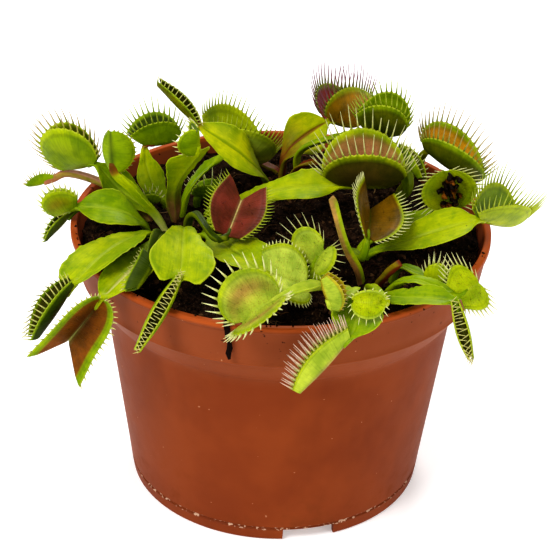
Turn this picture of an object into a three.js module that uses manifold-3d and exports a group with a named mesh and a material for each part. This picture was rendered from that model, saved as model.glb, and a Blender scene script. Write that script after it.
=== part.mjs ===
// A potted venus flytrap: a 12 cm nursery pot, its peat, and one solid for each leaf with its trap.
// Millimetres, +Z up. Everything is laid out round the pot's axis, with z = 0 on the ground, and the whole
// is moved at the end so that the origin lies under the middle of its box.
import * as THREE from 'three';
import { mergeVertices } from 'three/addons/utils/BufferGeometryUtils.js';
import Module from 'manifold-3d';

const wasm = await Module();
wasm.setup();

// ---- driving dimensions -------------------------------------------------------------------------
const RIM_RADIUS = 60;          // a 12 cm pot
const COLLAR_RADIUS = 57.6;     // at the collar's lower edge
const SHOULDER_RADIUS = 50.8;
const FOOT_RADIUS = 43;
const POT_HEIGHT = 81;
const COLLAR_FOOT_Z = 68;       // the collar's lower edge, where the shoulder starts
const SHOULDER_Z = 59.5;        // where the shoulder meets the tapered wall
const LIP_HEIGHT = 1.8;
const FOOT_HEIGHT = 4;          // the floor of the pot stands this high on its foot ring
const WALL = 1.7;
const POT_SIDES = 40;
const NOTCH = { width: 15, depth: 12, height: 3.7, turns: [14, 134, 254] };   // in the foot ring
const DRAIN = { radius: 3.5, ring: 26, count: 4 };

const SOIL_Z = 77;
const SOIL_GAP = 0.3;           // clear of the pot's wall and floor
const SOIL_SIDES = 28;
const HOLE_CLEARANCE = 1.1;     // round each leaf's foot
const FOOT_DEPTH = 7;           // how far a leaf's foot goes into the peat

const FOOT_WIDTH = 2.2;         // a petiole where it leaves the peat, and at its neck
const EDGE_THICKNESS = 0.9;     // a petiole's wing
const RIB_THICKNESS = 1.7;
const NECK_OVERLAP = 2.5;       // how far a petiole runs into its trap's hinge
const LOBE_THICKNESS = 0.85;
const KEEL_THICKNESS = 1.8;     // the fold between a trap's lobes
const LOBE_FAN = [66, 66];      // degrees from straight ahead back to the first tooth, on to the last
const LOBE_STEPS = 6;           // pieces of arc from keel to margin
const TOOTH_LENGTH = 0.42;      // against the depth of its lobe

const RAD = Math.PI / 180;
const UP = new THREE.Vector3(0, 0, 1);

// ---- solids -------------------------------------------------------------------------------------
function toSolid(geometry) {
  const bare = geometry.clone();
  bare.deleteAttribute('normal');
  bare.deleteAttribute('uv');
  const merged = mergeVertices(bare, 1e-4);
  return new wasm.Manifold(new wasm.Mesh({
    numProp: 3,
    vertProperties: new Float32Array(merged.attributes.position.array),
    triVerts: new Uint32Array(merged.index.array),
  }));
}

function toGeometry(solid) {
  const mesh = solid.getMesh();
  const geometry = new THREE.BufferGeometry();
  geometry.setAttribute('position', new THREE.BufferAttribute(mesh.vertProperties, 3));
  geometry.setIndex(new THREE.BufferAttribute(mesh.triVerts, 1));
  geometry.computeVertexNormals();
  return geometry;
}

function named(name, solid, material) {
  const mesh = new THREE.Mesh(toGeometry(solid), material);
  mesh.name = name;
  return mesh;
}

function lathe(outline, sides) {
  const points = outline.map(([radius, z]) => new THREE.Vector2(radius, z));
  return new THREE.LatheGeometry(points, sides).rotateX(Math.PI / 2);
}

// ---- pot ----------------------------------------------------------------------------------------
function wallRadius(z) {
  return FOOT_RADIUS + (SHOULDER_RADIUS - FOOT_RADIUS) * z / SHOULDER_Z;
}

function makePot() {
  const lipZ = POT_HEIGHT - LIP_HEIGHT;
  const outline = [
    [0, FOOT_HEIGHT],
    [FOOT_RADIUS - WALL - 0.4, FOOT_HEIGHT],
    [FOOT_RADIUS - WALL, 0],
    [FOOT_RADIUS, 0],
    [wallRadius(FOOT_HEIGHT) + 0.1, FOOT_HEIGHT - 0.1],           // a fine groove over the foot ring
    [wallRadius(FOOT_HEIGHT) - 0.3, FOOT_HEIGHT + 0.4],
    [wallRadius(FOOT_HEIGHT + 1), FOOT_HEIGHT + 1],
    [wallRadius(SHOULDER_Z - 1), SHOULDER_Z - 1],
    [SHOULDER_RADIUS + 0.9, SHOULDER_Z + 0.3],
    [COLLAR_RADIUS - 0.8, COLLAR_FOOT_Z - 0.9],
    [COLLAR_RADIUS, COLLAR_FOOT_Z + 0.3],
    [RIM_RADIUS - 0.7, lipZ - 0.4],
    [RIM_RADIUS, lipZ],
    [RIM_RADIUS, POT_HEIGHT - 0.4],
    [RIM_RADIUS - 0.5, POT_HEIGHT],
    [RIM_RADIUS - LIP_HEIGHT, POT_HEIGHT],
    [COLLAR_RADIUS - WALL + 0.2, COLLAR_FOOT_Z],
    [SHOULDER_RADIUS - WALL, SHOULDER_Z],
    [wallRadius(FOOT_HEIGHT) - WALL, FOOT_HEIGHT + WALL],
    [0, FOOT_HEIGHT + WALL],
  ];
  let pot = toSolid(lathe(outline, POT_SIDES));
  for (const turn of NOTCH.turns) {
    const notch = new THREE.BoxGeometry(NOTCH.width, NOTCH.depth, 2 * NOTCH.height);
    pot = pot.subtract(toSolid(notch.translate(0, -FOOT_RADIUS, 0).rotateZ(turn * RAD)));
  }
  for (let k = 0; k < DRAIN.count; k++) {
    const hole = new THREE.CylinderGeometry(DRAIN.radius, DRAIN.radius, 4 * FOOT_HEIGHT, 10);
    hole.rotateX(Math.PI / 2).translate(DRAIN.ring, 0, 0).rotateZ((k + 0.5) * 2 * Math.PI / DRAIN.count);
    pot = pot.subtract(toSolid(hole));
  }
  return pot;
}

// ---- curves and sheets shared by every leaf -------------------------------------------------------
function rounded(values, t) {                           // a smooth run through evenly spaced values
  const last = values.length - 1;
  const place = Math.min(Math.max(t, 0), 1) * last;
  const i = Math.min(Math.floor(place), last - 1);
  const f = place - i;
  const [a, b, c, d] = [-1, 0, 1, 2].map((k) => values[Math.min(Math.max(i + k, 0), last)]);
  return b + 0.5 * f * (c - a + f * (2 * a - 5 * b + 4 * c - d + f * (3 * (b - c) + d - a)));
}

function ease(t) {
  const x = Math.min(Math.max(t, 0), 1);
  return x * x * (3 - 2 * x);
}

function vector(list) {
  return new THREE.Vector3(...list);
}

// A thick sheet from a grid: grid(t, v) gives a point, its normal and the thickness there, with t along
// the rows and v across. With tip(k, side), each long edge is halved again between rows, and its k-th
// stretch, on side 0 or 1, rises to a pointed tooth there.
function sheet(rows, columns, grid, tip) {
  const points = [];
  const triangles = [];
  const add = (p) => points.push(p.x, p.y, p.z) / 3 - 1;
  const both = (i, j) => {
    const { point, normal, thick } = grid(i / rows, j / columns);
    const half = normal.clone().multiplyScalar(thick / 2);
    return { front: add(point.clone().add(half)), back: add(point.clone().sub(half)) };
  };
  const face = (a, b, c) => {                           // the same split on both faces
    triangles.push(a.front, c.front, b.front, a.back, b.back, c.back);
  };
  const wall = (a, b) => {
    triangles.push(a.front, b.back, a.back, a.front, b.front, b.back);
  };
  const tooth = (a, b, apex) => {
    const t = add(apex);
    triangles.push(a.front, t, a.back, a.back, t, b.back, b.back, t, b.front, b.front, t, a.front);
  };
  const body = [];
  for (let i = 0; i <= rows; i++) {
    body.push([]);
    for (let j = 0; j <= columns; j++) body[i].push(both(i, j));
  }
  for (let i = 0; i < rows; i++) {
    const [near, far] = [0, columns].map((j) => (tip ? both(i + 0.5, j) : null));
    for (let j = 0; j < columns; j++) {
      const [a, b, c, d] = [body[i][j], body[i + 1][j], body[i + 1][j + 1], body[i][j + 1]];
      if (tip && j === 0) {
        face(a, near, d);
        face(near, c, d);
        face(near, b, c);
      } else if (tip && j === columns - 1) {
        face(a, b, far);
        face(a, far, d);
        face(b, c, far);
      } else if ((i + j) % 2) {
        face(a, b, c);
        face(a, c, d);
      } else {
        face(a, b, d);
        face(b, c, d);
      }
    }
    if (tip) {
      tooth(body[i][0], near, tip(2 * i, 0));
      tooth(near, body[i + 1][0], tip(2 * i + 1, 0));
      tooth(far, body[i][columns], tip(2 * i, 1));
      tooth(body[i + 1][columns], far, tip(2 * i + 1, 1));
    } else {
      wall(body[i][0], body[i + 1][0]);
      wall(body[i + 1][columns], body[i][columns]);
    }
  }
  for (let j = 0; j < columns; j++) {
    wall(body[0][j + 1], body[0][j]);
    wall(body[rows][j], body[rows][j + 1]);
  }
  const geometry = new THREE.BufferGeometry();
  geometry.setAttribute('position', new THREE.Float32BufferAttribute(points, 3));
  geometry.setIndex(triangles);
  return toSolid(geometry);
}

// ---- petiole: a winged stalk along a curved rib ---------------------------------------------------
// Its wings lean up from the rib by fold degrees, turn about it by roll degrees on the way out, ripple
// by wave millimetres, and run past the neck by notch millimetres at the end.
function makePetiole(leaf) {
  const { widths, roll = 0, fold = 12, wave = 0.5, notch = 0 } = leaf;
  const [x, y] = leaf.foot;
  const stem = [vector([x, y, SOIL_Z - FOOT_DEPTH]), vector([x, y, SOIL_Z + 0.5])];
  const route = [...stem, ...leaf.route.map(vector)];
  const neck = route[route.length - 1];
  if (leaf.trap) {
    const into = vector(leaf.trap.tip).sub(neck).setLength(NECK_OVERLAP);
    route.push(neck.clone().add(into));
  }
  const rib = new THREE.CatmullRomCurve3(route);
  const length = rib.getLength();
  const bladeStart = FOOT_DEPTH / length;
  const bladeEnd = leaf.trap ? 1 - NECK_OVERLAP / length : 1;
  const across = neck.clone().sub(route[0]).cross(UP).normalize();
  const rows = leaf.rows ?? Math.min(9, Math.max(5, Math.round(length / 6.5)));
  const columns = Math.max(...widths) > 6 ? 4 : 2;

  return sheet(rows, columns, (t, v) => {
    const along = (t - bladeStart) / (bladeEnd - bladeStart);
    const tangent = rib.getTangentAt(t);
    const side = across.clone().addScaledVector(tangent, -across.dot(tangent)).normalize();
    side.applyAxisAngle(tangent, roll * RAD * ease(along * 1.3));
    const normal = side.clone().cross(tangent);
    const w = 2 * v - 1;
    const halfWidth = rounded([FOOT_WIDTH, ...widths, FOOT_WIDTH], along) / 2;
    const lean = fold * RAD * ease(along * 3);
    const ripple = wave * w * w * Math.sin(along * 9 + (w > 0 ? 1.1 : 0)) * ease(along * 2);
    const past = notch * w * w * ease((along - 0.5) * 2.2);
    const point = rib.getPointAt(t);
    point.addScaledVector(side, w * halfWidth * Math.cos(lean));
    point.addScaledVector(normal, Math.abs(w) * halfWidth * Math.sin(lean));
    point.addScaledVector(normal, ripple * Math.min(1, halfWidth / 4));
    point.addScaledVector(tangent, past * Math.min(1, halfWidth / 5));
    const wing = Math.abs(w) * ease(halfWidth - 1);
    return { point, normal, thick: RIB_THICKNESS + (EDGE_THICKNESS - RIB_THICKNESS) * wing };
  });
}

// ---- trap: two lobes folded along a hinge, with teeth raised from their margins -------------------
function makeTrap(leaf) {
  const { depth, gape, cup = 35, spread = [0.4, 0.5], fan = LOBE_FAN, curl = 12, teeth = TOOTH_LENGTH } = leaf.trap;
  const start = vector(leaf.route[leaf.route.length - 1]);
  const hinge = vector(leaf.trap.tip).sub(start);
  const length = hinge.length();
  hinge.normalize();
  const mouth = vector(leaf.trap.mouth);
  mouth.addScaledVector(hinge, -mouth.dot(hinge)).normalize();
  const flank = hinge.clone().cross(mouth);
  const rows = leaf.trap.rows ?? (depth > 7 ? 6 : 4);
  const columns = depth > 8 ? 6 : 4;

  // t runs along the hinge from the neck to the tip, w from the keel to the margin, sign picks the lobe
  const spin = (t) => (t * (fan[0] + fan[1]) - fan[0]) * RAD;
  const reach = (t) => {
    const swell = Math.sin(Math.PI * t);
    return depth * (swell + (1 - swell) * (spread[0] + (spread[1] - spread[0]) * t));
  };
  const opening = (t, w) => (gape / 2 + cup * (1 - 2 * w) - curl * (2 * t - 1) ** 2 * w) * RAD;
  const lobe = (t, w, sign) => {
    const step = reach(t) * Math.cos(spin(t)) * w / LOBE_STEPS;
    let inward = 0;
    let sideways = 0;
    for (let k = 0; k < LOBE_STEPS; k++) {
      const angle = opening(t, w * (k + 0.5) / LOBE_STEPS);
      inward += step * Math.cos(angle);
      sideways += step * Math.sin(angle);
    }
    sideways = Math.hypot(sideways, LOBE_THICKNESS * 0.8 * Math.min(1, w * 3));   // the lobes never meet
    return start.clone().addScaledVector(hinge, length * t + reach(t) * w * Math.sin(spin(t)))
      .addScaledVector(mouth, inward).addScaledVector(flank, sign * sideways);
  };
  const grid = (t, v) => {
    const sign = v < 0.5 ? -1 : 1;
    const w = Math.abs(2 * v - 1);
    const angle = opening(t, w);
    const normal = w < 1e-6 ? mouth.clone()
      : mouth.clone().multiplyScalar(Math.sin(angle)).addScaledVector(flank, -sign * Math.cos(angle));
    const keel = LOBE_THICKNESS + (KEEL_THICKNESS - LOBE_THICKNESS) * Math.sin(Math.PI * t);
    return { point: lobe(t, w, sign), normal, thick: keel + (LOBE_THICKNESS - keel) * Math.min(1, w * 3) };
  };
  const tip = (k, side) => {
    const t = (k + 0.5) / (2 * rows);
    const sign = side ? 1 : -1;
    const angle = Math.max(opening(t, 1), 4 * RAD);
    const size = depth * teeth * (0.75 + 0.25 * Math.sin(Math.PI * t));
    const heading = mouth.clone().multiplyScalar(Math.cos(angle))
      .addScaledVector(flank, sign * Math.sin(angle));
    return lobe(t, 1, sign)
      .addScaledVector(heading, size * Math.cos(spin(t)))
      .addScaledVector(hinge, size * Math.sin(spin(t)));
  };
  return sheet(rows, columns, grid, tip);
}

function makeLeaf(leaf) {
  const petiole = makePetiole(leaf);
  if (!leaf.trap) return petiole;
  const parts = petiole.add(makeTrap(leaf)).decompose();   // fill what the two seal off, drop loose scraps
  return parts.sort((a, b) => b.volume() - a.volume())[0];
}

// ---- leaves ---------------------------------------------------------------------------------------
// foot: where the petiole stands in the peat. route: the rib from there to the neck under the trap.
// widths: the blade, evenly spaced from foot to neck. trap.tip: the far end of the hinge.
// trap.mouth: which way the trap opens, by gape degrees; cup bows the lobes in, or out when negative,
// curl closes them towards the hinge's ends, and spread is their depth there against depth.
const LEAVES = {
  // rosette on the left
  west_broad: {
    foot: [-35.9, -5.1], route: [[-44.7, -23, 84], [-55.3, -42, 81.6]],
    widths: [4, 12, 16, 15], notch: 5, roll: 15,
    trap: {
      tip: [-63.8, -45.9, 68.8], mouth: [-0.47, -0.13, 0.88], depth: 6.3,
      gape: 70, cup: 48, spread: [0.44, 0.6], fan: [34, 41], teeth: 0.5,
    },
  },
  west_open: {
    foot: [-34.6, -8.8], route: [[-38.8, -30, 82.2], [-47.4, -48, 80.6]],
    widths: [4, 9, 12, 10], notch: 2, roll: -5,
    trap: {
      tip: [-56.1, -46.8, 67.7], mouth: [0.01, -1, -0.01], depth: 8.8,
      gape: 97, cup: -8, spread: [0.05, 1.51], fan: [75, 26], teeth: 0.16,
    },
  },
  west_folded: {
    foot: [-31, -9.2], route: [[-32.9, -24.8, 88.1], [-34.3, -36.8, 87.2], [-33.3, -41.5, 89.6]],
    widths: [4, 6, 5, 4], fold: 35,
    trap: {
      tip: [-37.3, -47.3, 84.7], mouth: [-0.67, 0.61, 0.43], depth: 4.3,
      gape: 26, cup: 35, spread: [1.23, 0.91], fan: [17, 38], teeth: 0.4,
    },
  },
  west_heart: {
    foot: [-27.4, -8], route: [[-26.4, -26, 91], [-26.5, -47, 88]],
    widths: [4, 4.5, 9, 18], notch: 8, roll: -8,
    trap: {
      tip: [-36.2, -60.7, 74.4], mouth: [0.19, -0.65, 0.74], depth: 5.3,
      gape: 29, cup: 52, spread: [0.3, 0.3], fan: [38, 45], teeth: 0.42,
    },
  },
  west_left: {
    foot: [-37.8, -2.7], route: [[-44, -6, 85], [-58.2, -5, 85.8]],
    widths: [4, 11, 13, 10], roll: -25,
    trap: {
      tip: [-64.3, -6.2, 83.6], mouth: [-0.34, 0.33, 0.88], depth: 8.8,
      gape: 62, cup: 35, spread: [0.41, 0.08], fan: [28, 52], teeth: 0.18,
    },
  },
  west_wilted: {
    foot: [-38.5, 0.7], route: [[-45.9, -1.4, 82.2], [-56.4, -0.4, 83.9], [-59.5, -2.3, 82.9]],
    widths: [3, 4, 4, 4],
    trap: { tip: [-66.6, -3.3, 74.7], mouth: [-0.91, -0.21, -0.36], depth: 3, gape: 40, rows: 4 },
  },
  west_high: {
    foot: [-33.9, 1.7], route: [[-46.4, 5, 86.6], [-53.4, 3, 95.8]],
    widths: [4, 9, 11, 8], roll: -40,
    trap: {
      tip: [-62.3, 7.6, 91.4], mouth: [-0.81, 0.29, 0.52], depth: 15,
      gape: 10, cup: 35, spread: [0.16, 0.05], fan: [56, 71], teeth: 0.25,
    },
  },
  west_edge: {
    foot: [-38, 3.9], route: [[-49.1, 8, 85.5], [-62.4, 9, 89.4], [-66.3, 8, 88]],
    widths: [3, 3.6, 3.4, 3, 2.4],
    trap: { tip: [-72.5, 6, 86.6], mouth: [-0.55, 0.41, 0.72], depth: 2.6, gape: 44, teeth: 0.6 },
  },
  west_keel: {
    foot: [-32.6, -2.6], route: [[-41, -5, 90], [-47, -6, 98]],
    widths: [3, 4.5, 5, 4], fold: 40,
    trap: {
      tip: [-47.9, -3.7, 109.2], mouth: [0.34, 0.85, -0.39], depth: 7,
      gape: 93, cup: 34, spread: [0.16, 0.05], fan: [37, 25], teeth: 0.14,
    },
  },
  west_back: {
    foot: [-34, 14.4], route: [[-38.6, 17, 84.5], [-40.1, 19.3, 94.1]],
    widths: [5, 9, 8, 4], roll: -25, rows: 7,
    trap: {
      tip: [-31.8, 21.5, 94.7], mouth: [-0.21, 0.13, 0.97], depth: 10.2,
      gape: 67, cup: 13, spread: [0.68, 0.39], fan: [45, 32], teeth: 0.38,
    },
  },
  west_tall: {
    foot: [-30.7, 4.9], route: [[-30, -3, 93], [-23.5, -13, 108.5]],
    widths: [4.5, 4.8, 5.5, 9.5, 13.5], notch: 2, roll: 10,
    trap: {
      tip: [-23.2, -15.7, 115.5], mouth: [-0.86, 0.18, 0.47], depth: 6.1,
      gape: 77, cup: 35, spread: [0.27, 0.2], fan: [55, 71], teeth: 0.2,
    },
  },
  west_rear: {
    foot: [-29, 9], route: [[-26, 9.5, 86.9], [-17.8, 11, 95.4]],
    widths: [3.5, 5.5, 6],
  },
  west_bud: {
    foot: [-39.8, 8.4], route: [[-40, 8.9, 80.2]],
    widths: [3, 3],
    trap: { tip: [-36.5, 9.5, 80.6], mouth: [0, 0.2, 0.98], depth: 4, gape: 50 },
  },
  west_bud_right: {
    foot: [-25, 15.5], route: [[-24.2, 15.2, 80.2]],
    widths: [3, 3],
    trap: { tip: [-18, 14, 81], mouth: [0, 0.1, 0.99], depth: 5.5, gape: 60, teeth: 0.55 },
  },
  west_low: {
    foot: [-22.2, 7], route: [[-18.5, 7.5, 80.5], [-14.5, 7, 80.5]],
    widths: [3, 4, 3],
  },
  west_low_front: {
    foot: [-25, -10.8], route: [[-25, -14, 80.5], [-24.5, -19, 80.5]],
    widths: [3, 4.5, 4],
  },
  west_low_right: {
    foot: [-21.6, -1.9], route: [[-18, -4, 80], [-15, -8, 80]],
    widths: [3, 4, 3],
  },
  // long leaves from the left rosette across the middle
  middle_broad: {
    foot: [-23.2, -4.9], route: [[-12, -24, 83.4], [-4.3, -41, 87]],
    widths: [4, 13, 15, 13], roll: 10,
    trap: {
      tip: [5.9, -36.8, 80.8], mouth: [-0.08, -0.46, 0.88], depth: 10.2,
      gape: 137, cup: -11, spread: [0.6, 0.29], fan: [21, 33], teeth: 0.1,
    },
  },
  middle_long: {
    foot: [-21.6, 2.2], route: [[-7.4, 3, 86.6], [5.7, 3.5, 90], [17.8, 4, 90.5]],
    widths: [5, 7, 8.5, 10.5], roll: 30,
    trap: {
      tip: [29.9, 4.4, 90.2], mouth: [-0.05, -0.03, 1], depth: 17.5,
      gape: 54, cup: 24, spread: [0.47, 0.46], fan: [56, 41], teeth: 0.3,
    },
  },
  middle_red: {
    foot: [-26.9, -1.6], route: [[-24, -11, 88], [-17.8, -23.2, 87], [-14.8, -20, 85.9]],
    widths: [3, 2.6, 2.2, 2],
    trap: {
      tip: [-11.5, -5.3, 89.4], mouth: [0, -0.87, 0.49], depth: 9.7,
      gape: 108, cup: -9, spread: [0.58, 0.89], fan: [27, 29], teeth: 0.2,
    },
  },
  // rosette at the back
  north_high: {
    foot: [-3.5, 26.5], route: [[-12, 21, 91], [-25.3, 19, 101.8]],
    widths: [4, 10, 13, 12, 8], roll: -50,
    trap: {
      tip: [-36, 21.8, 111.9], mouth: [0.45, -0.49, 0.75], depth: 4.4,
      gape: 30, cup: 52, spread: [0.3, 0.6], fan: [40, 42], teeth: 0.5,
    },
  },
  north_left: {
    foot: [-1, 36.5], route: [[-8.1, 38.7, 80.1]],
    widths: [3, 3.5, 3],
    trap: {
      tip: [-20.3, 33.5, 87.9], mouth: [0.35, 0.18, 0.92], depth: 17,
      gape: 86, cup: 37, spread: [0.45, 0.61], fan: [15, 38], teeth: 0.2,
    },
  },
  north_red: {
    foot: [-0.5, 32], route: [[1.2, 29, 88.5], [6.4, 30.5, 93.5], [13.5, 30, 98.6]],
    widths: [3, 3, 8, 14, 12], roll: 70,
    trap: {
      tip: [20.7, 40.3, 91.9], mouth: [-0.01, 0.21, 0.98], depth: 15.2,
      gape: 40, cup: 52, spread: [0.29, 0.9], fan: [74, 15], teeth: 0.38,
    },
  },
  north_right: {
    foot: [5.5, 27.5], route: [[5, 22.6, 92.1], [15, 20.5, 97.6], [26.8, 18.9, 99.5]],
    widths: [3, 3.5, 4, 5],
    trap: {
      tip: [33.6, 15.6, 101.6], mouth: [-0.41, -0.07, 0.91], depth: 14.4,
      gape: 24, cup: 29, spread: [0.69, 0.25], fan: [23, 52], teeth: 0.25,
    },
  },
  north_strip: {
    foot: [2.5, 21.5], route: [[4.2, 19, 88], [10, 17.5, 91.5]],
    widths: [3.5, 4.5, 4],
  },
  north_dark: {
    foot: [-5, 31.5], route: [[-7.6, 29, 80.9], [-13.3, 29.5, 83.5]],
    widths: [3, 4.5, 4],
  },
  back_frilly: {
    foot: [33, 17], route: [[36.7, 14, 84.7], [33.8, 13.7, 97.9]],
    widths: [3, 4],
    trap: {
      tip: [38.8, 5.6, 92.8], mouth: [0.67, -0.09, 0.74], depth: 4,
      gape: 67, cup: 35, spread: [0.38, 0.65], fan: [55, 31], teeth: 0.25,
    },
  },
  back_orange: {
    foot: [34, 22.4], route: [[39.4, 20.4, 88], [41.7, 14, 97.6]],
    widths: [3.5, 5, 4],
    trap: {
      tip: [54.9, 13.4, 89.3], mouth: [0.6, 0.06, 0.8], depth: 14.7,
      gape: 91, cup: 59, spread: [0.3, 0.41], fan: [55, 23], teeth: 0.34,
    },
  },
  // rosette on the right, upper part
  east_dead: {
    foot: [22.5, -9.5], route: [[34.1, -1.5, 81.2], [47.5, -0.5, 87.1]],
    widths: [4, 7, 8, 5],
    trap: {
      tip: [46.1, -1.4, 98.8], mouth: [-0.02, -0.71, 0.7], depth: 8.6,
      gape: 134, cup: 9, spread: [0.19, 0.09], fan: [24, 40], teeth: 0.4,
    },
  },
  east_long: {
    foot: [24, -14], route: [[34, -15, 83], [55.2, -13, 89.8]],
    widths: [4, 8, 12, 13, 11], roll: 20,
    trap: {
      tip: [64.1, -2.8, 82.5], mouth: [0.12, -0.24, 0.96], depth: 12.1,
      gape: 53, cup: 18, spread: [0.51, 0.53], fan: [66, 31], teeth: 0.42,
    },
  },
  east_orange: {
    foot: [19, -11.5], route: [[22.9, -24.8, 83.7], [23.7, -23.4, 88.9]],
    widths: [3, 2.4],
    trap: {
      tip: [24.6, -8.7, 89.6], mouth: [0.32, -0.66, 0.68], depth: 10.2,
      gape: 94, cup: -1, spread: [0.41, 0.93], fan: [59, 39], teeth: 0.24,
    },
  },
  // rosette on the right, front part
  east_arched: {
    foot: [31, -26.5], route: [[33.2, -30, 83.6], [39.3, -36.5, 84.1]],
    widths: [3, 4, 4],
    trap: {
      tip: [43.9, -38.6, 84.7], mouth: [0, 0.37, 0.93], depth: 4.8,
      gape: 30, cup: 35, spread: [0.26, 0.27], fan: [24, 39], teeth: 0.5,
    },
  },
  east_round: {
    foot: [28.8, -34.6], route: [[35.8, -41, 86], [47.9, -45.2, 83.9]],
    widths: [3, 5, 5],
    trap: {
      tip: [53, -42.4, 86.2], mouth: [-0.11, -0.69, 0.72], depth: 7.7,
      gape: 136, cup: 5, spread: [0.64, 0.05], fan: [23, 15], teeth: 0.42,
    },
  },
  east_hanging: {
    foot: [26, -38], route: [[33.2, -47.8, 84.4], [46.2, -53, 86.1]],
    widths: [4, 7, 9, 8], roll: 15,
    trap: {
      tip: [50.3, -59.3, 74], mouth: [-0.22, -0.83, 0.5], depth: 3.5,
      gape: 53, cup: 43, spread: [0.6, 0.28], fan: [30, 58], teeth: 0.8,
    },
  },
  front_hanging: {
    foot: [23.2, -37.6], route: [[22, -48, 82.9], [18.5, -62, 79.9]],
    widths: [3, 8, 12.5, 13], notch: 2,
    trap: {
      tip: [6, -68.1, 66.7], mouth: [-0.68, 0.24, 0.7], depth: 5.5,
      gape: 29, cup: 35, spread: [0.56, 0.41], fan: [35, 15], teeth: 0.7,
    },
  },
  east_yellow: {
    foot: [18, -38.2], route: [[19.1, -47, 86.4], [16.4, -53, 87], [13.4, -58, 86.9]],
    widths: [2.8, 4, 5, 4.5],
    trap: {
      tip: [10.6, -58, 95.1], mouth: [0.88, -0.2, 0.25], depth: 5.4,
      gape: 24, cup: 20, spread: [0.5, 0.5], fan: [30, 30], teeth: 0.12,
    },
  },
  front_open: {
    foot: [13.7, -34], route: [[13.6, -44.3, 84.3], [9.2, -54.2, 90.2], [0, -58, 89.2]],
    widths: [2.6, 4, 5, 5], fold: 30,
    trap: {
      tip: [-9.1, -60.8, 83], mouth: [-0.27, -0.39, 0.88], depth: 12.4,
      gape: 99, cup: -1, spread: [0.05, 0.09], fan: [56, 74], teeth: 0.28,
    },
  },
  east_small: {
    foot: [24, -32.6], route: [[25.8, -45, 84.8], [27.8, -54, 86.2], [26.7, -58, 89.1]],
    widths: [2.6, 2.4, 2.2],
    trap: {
      tip: [19.2, -58.5, 89.2], mouth: [-0.02, -1, -0.04], depth: 4.9,
      gape: 132, cup: 12, spread: [0.16, 0.16], fan: [58, 54], teeth: 0.32,
    },
  },
  east_slender: {
    foot: [22.4, -28.6], route: [[16.6, -42, 97.4], [12.8, -43.5, 111.3]],
    widths: [2.9, 2.8, 2], fold: 14,
  },
  middle_pair: {
    foot: [15.8, -28], route: [[7.8, -30.7, 80.8], [9.6, -30, 83.7]],
    widths: [3, 2.8],
    trap: {
      tip: [11.9, -29.1, 87.5], mouth: [-0.48, -0.56, 0.68], depth: 10,
      gape: 118, cup: -9, spread: [0.2, 0.2], fan: [32, 58], teeth: 0.4,
    },
  },
};

// the cut stalk of an old flower
const FLOWER_STUB = {
  foot: [26.8, -30.6], route: [[28.7, -33.5, 82.9], [32.1, -36, 88.5]],
  widths: [3, 3, 2.8],
};

// ---- peat -----------------------------------------------------------------------------------------
function soilHeight(x, y) {
  return SOIL_Z + 0.7 * Math.sin(x * 0.21 + 1) * Math.cos(y * 0.17) + 0.5 * Math.sin(x * 0.43 - y * 0.37)
    + 0.3 * Math.cos(x * 0.71 + y * 0.59);
}

function makeSoil() {
  const bottom = FOOT_HEIGHT + WALL + SOIL_GAP;
  const inside = (radius) => radius - WALL - SOIL_GAP - 0.5;
  const outline = [
    [0, bottom],
    [inside(wallRadius(bottom)), bottom],
    [inside(SHOULDER_RADIUS), SHOULDER_Z],
    [inside(COLLAR_RADIUS), COLLAR_FOOT_Z + 0.4],
    [inside(COLLAR_RADIUS + 1.4), SOIL_Z],
  ];
  for (const radius of [46, 34, 22, 10, 0]) outline.push([radius, SOIL_Z]);
  const geometry = lathe(outline, SOIL_SIDES);
  const position = geometry.attributes.position;
  for (let i = 0; i < position.count; i++) {
    if (position.getZ(i) < SOIL_Z - 1) continue;
    position.setZ(i, soilHeight(position.getX(i), position.getY(i)));
  }
  let soil = toSolid(geometry);
  const radius = FOOT_WIDTH / 2 + HOLE_CLEARANCE;
  for (const { foot } of [...Object.values(LEAVES), FLOWER_STUB]) {
    const hole = new THREE.CylinderGeometry(radius + 0.8, radius, FOOT_DEPTH + 4, 5).rotateX(Math.PI / 2);
    hole.translate(foot[0], foot[1], SOIL_Z - FOOT_DEPTH / 2 + 1.6);
    soil = soil.subtract(toSolid(hole));
  }
  return soil;
}

// ---- assembly -------------------------------------------------------------------------------------
function finish(color, roughness) {
  return new THREE.MeshStandardMaterial({ color, roughness, metalness: 0 });
}

const LEAF_GREEN = finish(0x8fb01c, 0.45);

const plant = new THREE.Group();
plant.add(named('pot', makePot(), finish(0xa9502b, 0.55)));
plant.add(named('peat', makeSoil(), finish(0x2a1d17, 0.95)));
for (const [name, leaf] of Object.entries(LEAVES)) {
  plant.add(named(`leaf_${name}`, makeLeaf(leaf), LEAF_GREEN));
}
plant.add(named('flower_stub', makeLeaf(FLOWER_STUB), finish(0x9c4a2a, 0.6)));

const box = new THREE.Box3().setFromObject(plant);     // the origin goes under the middle of the whole box
plant.position.set(-(box.min.x + box.max.x) / 2, -(box.min.y + box.max.y) / 2, 0);

export default plant;
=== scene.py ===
import math
import random

import bpy
import numpy as np
from mathutils import Matrix, Vector, noise


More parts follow.
